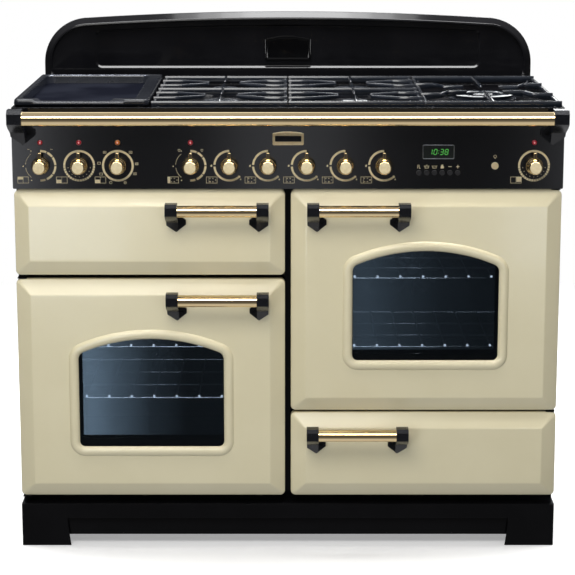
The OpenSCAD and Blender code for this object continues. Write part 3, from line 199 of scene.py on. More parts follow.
def material(name, colour, other=None, rough=0.4, metallic=0.0, scale=25.0, span=0.04, bump=0.0,
             grain=400.0, stretch=(1, 1, 1), coat=0.0, coat_rough=0.05, spec=0.5, pattern="noise",
             edge=(0.42, 0.58), emission=None):
    """A Principled material whose colour, roughness and relief come from procedural patterns in metres.

    pattern: "noise" is a soft cloud, "speckle" small flecks, "spangle" zinc crystals.
    """
    m = MATS[name] = bpy.data.materials.new(name)
    m.use_nodes = True
    m.diffuse_color = (*colour, 1)
    nt = m.node_tree
    b = nt.nodes["Principled BSDF"]
    for socket, value in (("Metallic", metallic), ("Coat Weight", coat), ("Coat Roughness", coat_rough),
                          ("Specular IOR Level", spec)):
        b.inputs[socket].default_value = value
    at, mapping = node(nt, "TexCoord"), node(nt, "Mapping", Scale=stretch)
    if pattern == "noise":
        tex, out = node(nt, "TexNoise", Scale=scale, Detail=4.0), "Fac"
    else:
        tex, out = node(nt, "TexVoronoi", Scale=scale), "Color" if pattern == "spangle" else "Distance"
    ramp = node(nt, "ValToRGB")
    ramp_stops(ramp, ((edge[0], other or tuple(c * 0.88 for c in colour)), (edge[1], colour)))
    cloud = node(nt, "TexNoise", Scale=scale * 0.6, Detail=6.0)
    rough_map = node(nt, "MapRange", To_Min=max(0.0, rough - span), To_Max=min(1.0, rough + span))
    wire_up(nt, (at, "Object", mapping, "Vector"), (mapping, "Vector", tex, "Vector"), (tex, out, ramp, "Fac"),
            (ramp, "Color", b, "Base Color"), (mapping, "Vector", cloud, "Vector"),
            (cloud, "Fac", rough_map, "Value"), (rough_map, "Result", b, "Roughness"))
    if bump:
        fine = node(nt, "TexNoise", Scale=grain, Detail=3.0)
        relief = node(nt, "Bump", Strength=0.5, Distance=bump * MM)
        wire_up(nt, (mapping, "Vector", fine, "Vector"), (fine, "Fac", relief, "Height"),
                (relief, "Normal", b, "Normal"))
    if emission:
        b.inputs["Emission Color"].default_value = (*emission[0], 1)
        b.inputs["Emission Strength"].default_value = emission[1]
    return m


def glass_material(name, clear, x0=-0.5, x1=0.5, sheen_stops=((0.0, 0.006), (1.0, 0.004))):
    """Tinted oven glass, clear in part, whose colour grows lighter and bluer towards one edge of the pane: a painted
    sheen that stands in for a reflection.
    """
    nt = material(name, (0.006, 0.008, 0.011), rough=0.03, span=0.01, scale=4.0, spec=0.30).node_tree
    b = nt.nodes["Principled BSDF"]
    at, split, ramp = node(nt, "TexCoord"), node(nt, "SeparateXYZ"), node(nt, "ValToRGB")
    span = node(nt, "MapRange", From_Min=x0, From_Max=x1)
    ramp_stops(ramp, [(place, (g * 0.74, g, g * 1.24)) for place, g in sheen_stops])
    see = node(nt, "BsdfTransparent", Color=(0.84, 0.88, 0.92, 1))
    mix = node(nt, "MixShader", Fac=clear)
    wire_up(nt, (at, "Object", split, "Vector"), (split, "X", span, "Value"), (span, "Result", ramp, "Fac"),
            (ramp, "Color", b, "Base Color"), (b, "BSDF", mix, 1), (see, "BSDF", mix, 2),
            (mix, "Shader", nt.nodes["Material Output"], "Surface"))


material("black_enamel", (0.0050, 0.0050, 0.0060), (0.0038, 0.0038, 0.0046), rough=0.10,
         scale=9, bump=0.010, grain=240, coat=0.10, spec=0.22, span=0.02)
material("panel_black", (0.0026, 0.0026, 0.0032), (0.0020, 0.0020, 0.0026), rough=0.17,
         scale=5, bump=0.010, grain=500, spec=0.34, span=0.02)
material("cream_enamel", (0.700, 0.622, 0.416), (0.684, 0.606, 0.401), rough=0.24,
         scale=7, bump=0.010, grain=220, coat=0.14, coat_rough=0.06, spec=0.38)
material("oven_enamel", (0.012, 0.015, 0.020), (0.07, 0.08, 0.10), rough=0.30,
         scale=420, pattern="speckle", edge=(0.04, 0.14), bump=0.02, grain=300, coat=0.2)
material("brass", (0.86, 0.68, 0.40), (0.82, 0.63, 0.35), rough=0.12, metallic=1.0, scale=30,
         bump=0.0012, grain=900, stretch=(0.08, 1, 1), span=0.02)
material("brass_satin", (0.93, 0.79, 0.50), (0.90, 0.74, 0.45), rough=0.30, metallic=0.30,
         scale=160, bump=0.006, grain=1400, span=0.05)
material("tap_brass", (0.58, 0.44, 0.20), (0.40, 0.29, 0.13), rough=0.34, metallic=1.0,
         scale=60, bump=0.02)
material("cast_iron", (0.011, 0.015, 0.023), (0.007, 0.010, 0.016), rough=0.24, scale=60,
         bump=0.02, grain=420, coat=0.7, coat_rough=0.10, spec=0.45)
material("griddle_aluminium", (0.015, 0.017, 0.024), (0.010, 0.012, 0.017),
         rough=0.26, metallic=0.10, scale=50, bump=0.03, grain=700, spec=0.45,
         coat=0.25, coat_rough=0.12)
material("griddle_floor", (0.014, 0.0155, 0.0225), (0.007, 0.0078, 0.0125), rough=0.40, scale=5,
         bump=0.02, grain=900, spec=0.0)
material("knob_face", (0.66, 0.57, 0.37), (0.60, 0.51, 0.32), rough=0.30, metallic=0.30,
         scale=160, bump=0.008, grain=1400, span=0.05)
# the pale middle of each lens glows brighter than the rest: partly the lamp's own glow, partly a painted highlight
material("lamp_core_glow_and_glint", (0.90, 0.45, 0.45), (0.80, 0.36, 0.36), rough=0.08, scale=600, coat=1.0,
         emission=((1.0, 0.50, 0.50), 0.25))
# lighter metal for the griddle rim's inner edge: a painted highlight
material("griddle_edge_highlight", (0.13, 0.14, 0.165), (0.05, 0.053, 0.065), rough=0.24, metallic=0.7,
         scale=60, bump=0.02, grain=900)
material("galvanised", (0.62, 0.63, 0.65), (0.46, 0.47, 0.49), rough=0.38, metallic=0.9,
         scale=90, pattern="spangle", edge=(0.2, 0.8), bump=0.01)
material("chrome_wire", (0.26, 0.28, 0.30), (0.18, 0.19, 0.21), rough=0.18, metallic=1.0,
         scale=80)
# a darker copy of the chrome for the shelves' wires away from the front: painted shade
material("shelf_wire", (0.15, 0.16, 0.18), (0.10, 0.11, 0.12), rough=0.32, metallic=0.9, scale=80)
# the ball ends of the shelf wires are pale and glow: a painted glint
material("painted_glint_tip", (0.86, 0.87, 0.88), (0.74, 0.75, 0.76), rough=0.35, scale=300, spec=0.6,
         emission=((0.92, 0.96, 1.0), 3.0))
material("dark_steel", (0.11, 0.10, 0.10), (0.17, 0.13, 0.10), rough=0.5, metallic=0.8,
         scale=70, bump=0.03)
material("fan_steel", (0.50, 0.50, 0.51), (0.40, 0.40, 0.42), rough=0.33, metallic=0.9,
         scale=45, stretch=(1, 1, 8), bump=0.01)
material("seal_rubber", (0.030, 0.030, 0.032), (0.055, 0.055, 0.058), rough=0.8,
         scale=900, pattern="speckle", bump=0.2, grain=900)
glass_material("oven_glass", 0.88)
# the inner panes: a painted sheen, lighter and bluer towards the left edge of each pane, standing in for a reflection
glass_material("painted_sheen_left", 0.5, -0.4444, -0.1074,
         ((0.13, 0.135), (0.28, 0.070), (0.48, 0.018), (0.70, 0.003)))
glass_material("painted_sheen_right", 0.5, 0.1074, 0.4444,
         ((0.15, 0.042), (0.35, 0.022), (0.60, 0.009), (0.85, 0.005)))
material("display_black", (0.012, 0.016, 0.014), rough=0.08, scale=20, coat=0.6)
material("lamp_red", (0.50, 0.012, 0.030), (0.30, 0.006, 0.015), rough=0.10, scale=600,
         pattern="speckle", coat=1.0, emission=((0.9, 0.02, 0.06), 0.10))
material("lamp_amber", (0.75, 0.20, 0.015), (0.45, 0.10, 0.01), rough=0.10, scale=600,
         pattern="speckle", coat=1.0, emission=((1.0, 0.32, 0.02), 0.14))
material("bracket_black", (0.009, 0.010, 0.014), (0.006, 0.0065, 0.009), rough=0.26,
         scale=120, bump=0.02, grain=600, coat=0.15, coat_rough=0.12, spec=0.45)
material("legend_gold", (0.78, 0.68, 0.45), (0.70, 0.60, 0.38), rough=0.45, scale=300,
         bump=0.01, grain=2500)
material("digit_green", (0.03, 0.25, 0.05), rough=0.4, scale=900, pattern="speckle",
         emission=((0.10, 0.46, 0.07), 0.62))
material("clock_rim", (0.20, 0.21, 0.23), (0.14, 0.145, 0.16), rough=0.24, metallic=0.6, scale=120)
material("button_plastic", (0.030, 0.030, 0.033), (0.020, 0.020, 0.022), rough=0.38,
         scale=200, bump=0.03, grain=1500)


# ---- mesh helpers
def piece(name, bm, body, mat):
    """Links a bmesh as a piece that rides on a body. mat is one material name or several."""
    mesh = bpy.data.meshes.new(name)
    bmesh.ops.recalc_face_normals(bm, faces=bm.faces)
    bm.to_mesh(mesh)
    bm.free()
    ob = bpy.data.objects.new(name, mesh)
    scene.collection.objects.link(ob)
    names = [mat] if isinstance(mat, str) else list(mat)
    for one in names:
        mesh.materials.append(MATS[one])
    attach(ob, body)
    return ob


def stand_in(name, bm, cad, mat):
    """A piece that rides where a CAD node rides and stands for it."""
    ob = piece(name, bm, frame["nodes"][cad]["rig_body"], mat)
    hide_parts(cad)
    return ob


def smooth(ob):
    ob.data.polygons.foreach_set("use_smooth", [True] * len(ob.data.polygons))
    return ob


def weighted(ob):
    """Flat faces stay flat and bevels read as round."""
    smooth(ob)
    mod = ob.modifiers.new("normals", "WEIGHTED_NORMAL")
    mod.keep_sharp = False
    mod.weight = 100
    return ob


def quads(bm, a, b):
    """Quads between two closed rings of vertices."""
    return [bm.faces.new((a[i], a[i - len(a) + 1], b[i - len(a) + 1], b[i])) for i in range(len(a))]


def loop_strip(bm, loops):
    """Quads between neighbouring loops of equal length. Each loop is a closed list of points."""
    rows = [[bm.verts.new(p) for p in loop] for loop in loops]
    for a, b in zip(rows, rows[1:]):
        quads(bm, a, b)
    return rows


def fill_between(bm, outer, inner):
    """A flat face inside a loop of vertices, with a hole."""
    def edges(loop):
        return [bm.edges.get((a, b)) or bm.edges.new((a, b)) for a, b in zip(loop, loop[1:] + loop[:1])]
    return bmesh.ops.triangle_fill(bm, use_beauty=True, use_dissolve=False, edges=edges(outer) + edges(inner))


def fillet(points, radii, steps=4):
    """A polyline with its inner corners rounded. radii holds one radius for each inner point."""
    out = [Vector(points[0])]
    for i in range(1, len(points) - 1):
        p, a, b = (Vector(points[k]) for k in (i, i - 1, i + 1))
        u, v = (a - p).normalized(), (b - p).normalized()
        turn = acos(max(-1, min(1, u.dot(v))))
        r = radii[i - 1]
        if r <= 0 or abs(turn - pi) < 1e-4:
            out.append(p)
            continue
        t = r / tan(turn / 2)
        centre = p + (u + v).normalized() * (r / sin(turn / 2))
        s, e = p + u * t - centre, p + v * t - centre
        span = s.angle_signed(e)
        for k in range(steps + 1):
            q = s.copy()
            q.rotate(Matrix.Rotation(-span * k / steps, 2))
            out.append(centre + q)
    out.append(Vector(points[-1]))
    return out


def lathe(profile, at, steps=56):
    """A solid turned about Y. profile holds (radius, depth) in mm, from one end's middle to the other's."""
    bm = bmesh.new()
    rings = [[bm.verts.new(Vector((r * cos(a), d, r * sin(a))) * MM + Vector(at))
              for a in (2 * pi * k / steps for k in range(steps if r else 1))] for r, d in profile]
    for a, b in zip(rings, rings[1:]):
        if len(a) == len(b):
            quads(bm, a, b)
            continue
        for k in range(steps):
            j = (k + 1) % steps
            bm.faces.new((a[0], b[j], b[k]) if len(a) == 1 else (a[k], a[j], b[0]))
    return bm


def loose_parts(bm):
    """Lists of faces that hang together."""
    left, parts = set(bm.faces), []
    while left:
        stack, got = [next(iter(left))], set()
        while stack:
            f = stack.pop()
            if f in got:
                continue
            got.add(f)
            stack.extend(g for e in f.edges for g in e.link_faces if g not in got)
        left -= got
        parts.append(got)
    return parts


def part_box(faces):
    co = [v.co for f in faces for v in f.verts]
    return Vector((min(c[i] for c in co) for i in range(3))), Vector((max(c[i] for c in co) for i in range(3)))


def soften(cad, width, mat, steps=2, least=32.0, name=None, pick=None, only=None):
    """A copy of a CAD node with its sharp edges rounded, which stands for the node.

    pick, if given, says for a loose part's box which of the materials it takes. only, if given, keeps
    just the parts for which it is true.
    """
    bm = bmesh.new()
    bm.from_mesh(frame["nodes"][cad].data)
    bmesh.ops.remove_doubles(bm, verts=bm.verts, dist=2e-6)
    bmesh.ops.dissolve_limit(bm, angle_limit=radians(0.6), verts=bm.verts, edges=bm.edges)
    if only:
        gone = [f for part in loose_parts(bm) if not only(*part_box(part)) for f in part]
        bmesh.ops.delete(bm, geom=gone, context="FACES")
    sharp = [e for e in bm.edges if len(e.link_faces) == 2 and e.calc_face_angle(0) > radians(least)]
    bmesh.ops.bevel(bm, geom=sharp, offset=width * MM, offset_type="OFFSET", segments=steps, profile=0.5,
                    affect="EDGES", clamp_overlap=True)
    for f in bm.faces:
        f.material_index = 0
    if pick:
        for part in loose_parts(bm):
            index = pick(*part_box(part))
            for f in part:
                f.material_index = index
    return weighted(stand_in(name or cad + "_piece", bm, cad, mat))


def rect_loop(w, h, r, cx, y, cz, steps=6):
    """A rounded rectangle in a plane across Y, all in mm, returned in metres."""
    pts = []
    for k, (sx, sz) in enumerate(((1, 1), (-1, 1), (-1, -1), (1, -1))):
        for i in range(steps + 1):
            x, z = polar(r, 90 * k + 90 * i / steps)
            pts.append(Vector((cx + sx * (w / 2 - r) + x, y, cz + sz * (h / 2 - r) + z)) * MM)
    return pts


# ---- cream fronts
BEVEL_W, BEVEL_D, SKIN_T, SKIN_D, CORNER = 30.0, 18.0, 1.5, 38.0, 10.0
WIN_W, WIN_H, WIN_Z, WIN_RC, WIN_RB = 293.0, 224.0, 108.5, 16.0, 11.0
BEAD_W, BEAD_H, BEAD_E = 19.0, 6.0, 0.5
FACE_Y = round(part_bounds("grill_front")[0].y / MM, 3)


def window_loop(o, cx, y, cz):
    """The arched window's outline, pushed out by o. Straight sides, small corners and a shallow arch."""
    corner_x = WIN_W / 2 - WIN_RC
    arch_r = corner_x * 13 / 5 + WIN_RC
    arch_z = WIN_H - arch_r
    corner_z = arch_z + corner_x * 12 / 5
    a = degrees(atan2(12, 5))
    low = WIN_W / 2 - WIN_RB
    pts = []
    for x, z, r, a0, a1, steps in (
            (low, WIN_RB, WIN_RB, -90, 0, 8), (corner_x, corner_z, WIN_RC, 0, a, 8),
            (0, arch_z, arch_r, a, 180 - a, 36), (-corner_x, corner_z, WIN_RC, 180 - a, 180, 8),
            (-low, WIN_RB, WIN_RB, 180, 270, 8)):
        for i in range(steps + 1):
            dx, dz = polar(r + o, a0 + (a1 - a0) * i / steps)
            p = (x + dx, z + dz)
            if not pts or (Vector(p) - Vector(pts[-1])).length > 1e-4:
                pts.append(p)
    return [Vector((cx + x, y, cz + z)) * MM for x, z in pts]


def cream_front(name, node, window=False):
    """A pressed and enamelled front: mitred bevels with soft creases, returns, and the window's bead."""
    lo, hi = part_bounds(node)
    w, h = (hi.x - lo.x) / MM, (hi.z - lo.z) / MM
    cx, z0 = (hi.x + lo.x) / 2 / MM, lo.z / MM
    cz = z0 + h / 2
    outer = fillet([(36, 0), (BEVEL_W, 0), (0, BEVEL_D), (0, SKIN_D - 0.3)], [7, 4.5], 5)
    outer += [Vector((0.3, SKIN_D)), Vector((SKIN_T, SKIN_D))]
    inner = [(SKIN_T, BEVEL_D + 1), (BEVEL_W + 0.6, SKIN_T), (36, SKIN_T)]
    loops = []
    for inset, depth in [tuple(p) for p in outer] + inner:
        r = max(CORNER - 0.95 * inset, 2.2)
        loops.append(rect_loop(w - 2 * inset, h - 2 * inset, r, cx, FACE_Y + depth, cz))
    bm = bmesh.new()
    rows = loop_strip(bm, loops)
    if not window:
        bm.faces.new(rows[0])
        bm.faces.new(rows[-1])
    else:
        c = ((BEAD_W / 2) ** 2 + BEAD_H ** 2) / (2 * BEAD_H)
        mid = BEAD_W / 2 + BEAD_E
        bead = [(BEAD_W + BEAD_E + 1.4, 0.0), (BEAD_W + BEAD_E + 0.5, 0.0)]
        for k in range(11):
            o = mid + BEAD_W / 2 * cos(pi * k / 10)
            bead.append((o, (c - BEAD_H) - sqrt(max(c * c - (o - mid) ** 2, 0))))
        bead += [(BEAD_E - 0.25, 0.35), (0.0, 0.9), (0.0, SKIN_T)]
        wins = loop_strip(bm, [window_loop(o, cx, FACE_Y + d, z0 + WIN_Z) for o, d in bead])
        fill_between(bm, rows[0], wins[0])
        fill_between(bm, rows[-1], wins[-1])
    smooth(stand_in(name, bm, node, "cream_enamel"))


cream_front("grill_front_shell", "grill_front")
cream_front("drawer_front_shell", "drawer_front")
cream_front("left_door_shell", "left_door_skin", True)
cream_front("right_door_shell", "right_door_skin", True)


# ---- handles and rail
for name in ("grill_handle", "left_door_handle", "right_door_handle", "drawer_handle", "handrail"):
    soften(name, 0.9, "brass", least=18, name=name + "_bar", only=lambda lo, hi: hi.x - lo.x > 0.1)
    soften(name, 0.9, "bracket_black", least=18, name=name + "_brackets", only=lambda lo, hi: hi.x - lo.x < 0.1)

# ---- casing, hob and pan supports
soften("hotplate", 1.6, "black_enamel", steps=3)


SPLASH_Y, SPLASH_BACK, HOB_Z0, HOB_Z = 318.0, 338.0, 880.0, 905.0
HALF, SHOULDER, RISE, SPLASH_TOP = 546.0, 100.0, 14.0, 1051.0


def splash_loop(o, base, y):
    """The splashback's outline inset by o: round shoulders and a shallow crown."""
    w, sh, r = HALF - o, SPLASH_TOP - RISE - o, max(SHOULDER - o, 8)
    cw = w - r
    big = (cw * cw + RISE * RISE) / (2 * RISE)
    right = [(w, base), (w, (base + sh - r) / 2)]
    right += [(cw + r * cosd(t), sh - r + r * sind(t)) for t in range(0, 91, 5)]
    for k in range(1, 17):
        x = cw * (1 - k / 16)
        right.append((x, sh + RISE - big + sqrt(big * big - x * x)))
    pts = right + [(-x, z) for x, z in right[-2::-1]]
    return [Vector((x, y, z)) * MM for x, z in pts]


def splashback():
    """Domed border with a fine bead inside it, a panel with a stepped middle, and a hollow back."""
    levels = [(2.2, HOB_Z0 + 1.2, 335.6), (2.2, HOB_Z0 + 1.2, SPLASH_BACK), (0, HOB_Z0, SPLASH_BACK)]
    levels += [(o, HOB_Z0, SPLASH_Y + d) for o, d in ((0, 15.6), (0.2, 14.9), (0.6, 14.3), (1.0, 13.8), (6.0, 7.9),
                                                      (11.6, 1.3), (12.2, 0.7), (12.9, 0.25), (13.6, 0.05))]
    for o, d in ((14.4, 0.0), (15.0, -0.45), (15.8, -0.65), (16.6, -0.45), (17.2, 0.2), (17.6, 1.5), (17.9, 3.0),
                 (18.6, 3.8), (19.4, 4.0)):
        levels.append((o, HOB_Z, SPLASH_Y + d))
    bm = bmesh.new()
    rows = loop_strip(bm, [splash_loop(o, base, y) for o, base, y in levels])
    step = loop_strip(bm, [emboss_loop(o, SPLASH_Y + d) for o, d in (
        (0, 4.0), (0.6, 4.15), (1.5, 4.8), (4.3, 7.6), (5.2, 8.25), (6.0, 8.4), (7.0, 8.45))])
    bm.faces.new(rows[0])
    fill_between(bm, rows[-1], step[0])
    bm.faces.new(step[-1])
    ob = smooth(stand_in("splashback_shell", bm, "splashback", "black_enamel"))
    ob.modifiers.new("normals", "WEIGHTED_NORMAL").weight = 80


def emboss_loop(o, y):
    """The outline of the splashback's stepped middle, inset by o."""
    x0, zb, r, rt = 432 - o, 925 + o, 16 - o, 14 - o
    big = ((HALF - SHOULDER) ** 2 + RISE ** 2) / (2 * RISE)

    def crown(x):
        return SPLASH_TOP - 27 - o - big + sqrt(big * big - x * x)
    pts = [(x0 - r + r * cosd(t), zb + r + r * sind(t)) for t in range(-90, 1, 15)]
    zt = crown(x0 - rt)
    pts += [(x0 - rt + rt * cosd(t), zt - rt + rt * sind(t)) for t in range(0, 91, 15)]
    pts += [((x0 - rt) * (1 - k / 12), crown((x0 - rt) * (1 - k / 12))) for k in range(1, 13)]
    pts = pts + [(-x, z) for x, z in pts[-2::-1]]
    return [Vector((x, y, z)) * MM for x, z in pts]


splashback()
soften("control_panel", 0.45, "panel_black", steps=2)
soften("plinth", 0.6, "black_enamel", steps=2)


def tray_loop(w, d, r, cx, cy, z, dip):
    """A rounded rectangle seen from above; its front edge dips between two sloped shoulders. In mm."""
    x0, x1, y0, y1 = cx - w / 2 + r, cx + w / 2 - r, cy - d / 2 + r, cy + d / 2 - r
    pts = []
    for px, py, a0 in ((x0, y0, 180), (x1, y0, 270), (x1, y1, 0), (x0, y1, 90)):
        pts += [(px + r * cosd(a0 + t), py + r * sind(a0 + t), z)
                for t in range(0, 91, 15)]
        if a0 == 180:
            for t, low in ((0.095, 0), (0.108, 0.12), (0.118, 0.5), (0.128, 0.88), (0.142, 1), (0.5, 1), (0.818, 1),
                           (0.832, 0.88), (0.842, 0.5), (0.852, 0.12), (0.865, 0)):
                pts.append((x0 + (x1 - x0) * t, y0 - r, z - dip * low))
    return [Vector(p) * MM for p in pts]


def griddle():
    """The cast griddle: a trough, a broad rim with a lowered front lip, an inner rim edge in lighter metal as a
    painted highlight, and a satin floor.
    """
    lo, hi = box_mm("griddle")
    ax, ay, w, d = (lo.x + hi.x) / 2, (lo.y + hi.y) / 2, hi.x - lo.x, hi.y - lo.y
    bx, by, z0, z1 = ax - 8, ay + 3, lo.z, hi.z
    dip = 4.6
    # middle, how much narrower and shallower than the griddle, corner, height, share of the lip's dip
    rows = [(bx, by, 31, 26, 8, z0, 0), (bx, by, 29, 24, 9, z0 + 1, 0), (bx, by, 29, 24, 9, z0 + 14.1, 0),
            (ax, ay, 3, 3, 8, z0 + 14.1, 0), (ax, ay, 0, 0, 9, z0 + 15.4, 0), (ax, ay, 0, 0, 9, z1 - 7, 0.3),
            (ax, ay, 1, 1.4, 9, z1 - 3, 0.8), (ax, ay, 3, 4, 8.5, z1 - 0.8, 1), (ax, ay, 6, 8, 8, z1, 1),
            (bx, by, 35, 29, 15, z1, 1), (bx, by, 37.5, 31.5, 15, z1 - 0.5, 1), (bx, by, 40, 34, 15, z1 - 2, 1),
            (bx, by, 42, 36, 16, z1 - 5, 0.8), (bx, by, 44, 38, 17, z1 - 18.4, 0), (bx, by, 47, 41, 17, z1 - 21, 0),
            (bx, by, 54, 48, 16, z1 - 22.4, 0)]
    bm = bmesh.new()
    strips = loop_strip(bm, [tray_loop(w - dw, d - dd, r, cx, cy, z, dip * k) for cx, cy, dw, dd, r, z, k in rows])
    count = len(strips[0])
    bm.faces.ensure_lookup_table()
    # the rim's inner edge takes the lighter metal, a painted highlight; the trough's foot and its floor take the
    # satin floor
    for row, index in ((9, 1), (10, 1), (13, 2), (14, 2)):
        for f in bm.faces[row * count:(row + 1) * count]:
            f.material_index = index
    bm.faces.new(strips[0])
    bm.faces.new(strips[-1]).material_index = 2
    ob = smooth(stand_in("griddle_cast", bm, "griddle", ("griddle_aluminium", "griddle_edge_highlight", "griddle_floor")))
    ob.modifiers.new("normals", "WEIGHTED_NORMAL").weight = 90


griddle()


class Grate:
    """A cast pan support, built from upright blades. In mm about the support's middle."""

    TOP, LOW, W = 914.0, 900.5, 6.6

    def __init__(self, name):
        self.name, self.bm = name, bmesh.new()
        self.lo, self.hi = box_mm(name)
        self.cx, self.cy = (self.lo.x + self.hi.x) / 2, (self.lo.y + self.hi.y) / 2
        self.w, self.d = (self.hi.x - self.lo.x) / 2, (self.hi.y - self.lo.y) / 2

    def blade(self, x0, y0, x1, y1, low=(LOW, LOW), top=(TOP, TOP), w=W):
        """A bar between two points, whose underside and top may each slope from one height to another."""
        along = Vector((x1 - x0, y1 - y0)).normalized() * w / 2
        side = Vector((-along.y, along.x))
        ring = []
        for (x, y), z0, z1 in (((x0, y0), low[0], top[0]), ((x1, y1), low[1], top[1])):
            ring.append([self.bm.verts.new(Vector((self.cx + x + k * side.x, self.cy + y + k * side.y, z)) * MM)
                         for k, z in ((-1, z0), (1, z0), (0.8, z1), (-0.8, z1))])
        quads(self.bm, *ring)
        self.bm.faces.new(ring[0][::-1])
        self.bm.faces.new(ring[1])

    def frame(self):
        """Front and back bars, lower side rails between the raised ends of the bars, and four feet."""
        e, w, d = self.W / 2, self.w, self.d
        for s in (-1, 1):
            self.blade(-w, s * (d - e), w, s * (d - e))
            self.blade(s * (w - e), e - d, s * (w - e), d - e, top=(909.5, 909.5))
            for t in (-1, 1):
                self.blade(s * (w - 14), t * (d - e) - 3.4, s * (w - 14), t * (d - e) + 3.4,
                           low=(self.lo.z, self.lo.z), top=(904, 904))

    def finger(self, *points):
        """A finger through two or three points, deep where it leaves the frame and shallow at its tip."""
        lows = {2: (self.LOW, 907.5), 3: (self.LOW, 903.5, 907.5)}[len(points)]
        for a, b, z0, z1 in zip(points, points[1:], lows, lows[1:]):
            self.blade(*a, *b, low=(z0, z1))

    def done(self):
        edges = [e for e in self.bm.edges if e.calc_face_angle(0) > radians(30)]
        bmesh.ops.bevel(self.bm, geom=edges, offset=0.8 * MM, offset_type="OFFSET", segments=2, profile=0.5,
                        affect="EDGES", clamp_overlap=True)
        weighted(stand_in(self.name + "_cast", self.bm, self.name, "cast_iron"))


BURNER_OFF, FINGER_GAP = 118.0, 26.0
for name in ("pan_support_left", "pan_support_middle"):
    g = Grate(name)
    g.frame()
    g.blade(-g.w, 0, g.w, 0)
    for b in (-BURNER_OFF, BURNER_OFF):
        out = copysign(1, b)
        g.finger((0, out * (g.d - 3)), (0, b + out * FINGER_GAP))
        g.finger((0, 0), (0, b - out * FINGER_GAP))
        for s in (-1, 1):
            for t in (-1, 1):
                g.finger((s * g.w, b + t * 46), (s * (g.w - 44), b + t * 46), (s * 34, b + t * 14))
    g.done()
g = Grate("pan_support_right")
g.frame()
for s in (-1, 1):
    g.finger((0, s * (g.d - 3)), (0, s * 44))
    for t in (-1, 1):
        g.finger((s * g.w, t * 96), (s * (g.w - 40), t * 96), (s * (g.w - 58), t * 46))
        g.finger((s * (g.w - 56), t * 46), (s * 38, t * 46))
g.done()
soften("burners", 0.4, "cast_iron", steps=1, least=36)

# ---- oven shelves and door glass
def wire(bm, points, r, sides=10, closed=False, tip=0.0):
    """A round wire along points in mm, which lie level. tip is the radius of a ball on its first end."""
    pts = [Vector(p) for p in points]
    rings = []
    for i, p in enumerate(pts):
        before = pts[i - 1] if i or closed else p
        after = pts[(i + 1) % len(pts)] if i + 1 < len(pts) or closed else p
        along = (after - before).normalized()
        side = along.cross(Vector((0, 0, 1)))
        rings.append([p + r * (cos(a) * side + sin(a) * Vector((0, 0, 1)))
                      for a in (2 * pi * k / sides for k in range(sides))])
    rows = loop_strip(bm, [[q * MM for q in ring] for ring in rings])
    if closed:
        quads(bm, rows[-1], rows[0])
        return
    bm.faces.new(rows[0])
    bm.faces.new(rows[-1])
    if tip:
        ball = bmesh.ops.create_uvsphere(bm, u_segments=10, v_segments=6, radius=tip * MM,
                                         matrix=Matrix.Translation(pts[0] * MM))
        for f in {f for v in ball["verts"] for f in v.link_faces}:
            f.material_index = 1


def oven_shelf(name):
    """A chromed shelf: a bent frame wire, two cross wires under it and nine welded wires on top. Its wires are a
    darker, shaded copy of the chrome except the frame's front run, and the balls on the top wires' front ends are
    pale and glow: painted shade, a painted highlight and a painted glint.
    """
    lo, hi = box_mm(name)
    r = 3.0
    cx, half, y0, y1, z = (lo.x + hi.x) / 2, (hi.x - lo.x) / 2 - r, lo.y + r, hi.y - r, (lo.z + hi.z) / 2
    bm = bmesh.new()
    corner = 14.0
    outline = []
    for px, py, a0 in ((half - corner, y1 - corner, 0), (corner - half, y1 - corner, 90),
                       (corner - half, y0 + corner, 180), (half - corner, y0 + corner, 270)):
        outline += [(cx + px + a, py + b, z) for a, b in (polar(corner, a0 + t) for t in range(0, 91, 15))]
    wire(bm, outline, r - 0.1, 12, closed=True)
    # the front run of the frame takes the lighter chrome and the other wires a darker copy of it: a painted highlight
    # at the front, painted shade behind
    for f in bm.faces:
        if f.calc_center_median().y < (y0 + 1) * MM + r * MM:
            f.material_index = 2
    for k in (1, 2):
        y = y0 + (y1 - y0) * k / 3
        wire(bm, [(cx - half + 1, y, z - 0.9), (cx + half - 1, y, z - 0.9)], 2.0)
    for k in range(-4, 5):
        x = cx + k * half / 4.5
        wire(bm, [(x, y0 - 1.2, z + 3.2), (x, y1, z + 3.2)], 1.5, tip=2.8)
    smooth(stand_in(name + "_wires", bm, name, ("shelf_wire", "painted_glint_tip", "chrome_wire")))


for side in ("left", "right"):
    for level in ("upper", "lower"):
        oven_shelf("%s_%s_shelf" % (side, level))
for side in ("left", "right"):
    pane = side + "_door_glass"
    middle = sum(v.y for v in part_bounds(pane)) / 2
    # the inner pane of each door takes the glass with the painted sheen
    soften(pane, 0.4, ("oven_glass", "painted_sheen_" + side), steps=1, pick=lambda lo, hi: 0 if hi.y < middle else 1)


def inner_pane_front(side):
    """The place in mm of the front of a door's inner pane."""
    ys = [v.co.y / MM for v in frame["nodes"][side + "_door_glass"].data.vertices]
    middle = (min(ys) + max(ys)) / 2
    return min(y for y in ys if y > middle)


MASK_OUT = 15.0


def door_mask(side):
    """The black print round the inner pane, which hides its edge behind the window."""
    lo, hi = box_mm(side + "_door_glass")
    z0 = box_mm(side + "_door_skin")[0].z + WIN_Z
    cx, y = (lo.x + hi.x) / 2, inner_pane_front(side) - 0.27
    bm = bmesh.new()

    def hole(y):
        loop = window_loop(-3.0, cx, y, z0)
        least = (z0 + 10.5) * MM
        return [Vector((p.x, p.y, max(p.z, least))) for p in loop]
    outer = [window_loop(MASK_OUT, cx, y + k, z0) for k in (0, 0.25)]
    inner = [hole(y + k) for k in (0.25, 0)]
    loop_strip(bm, outer + inner + [outer[0]])
    bmesh.ops.remove_doubles(bm, verts=bm.verts, dist=1e-7)
    piece(side + "_door_mask", bm, side + "_door", "black_enamel")


for side in ("left", "right"):
    door_mask(side)

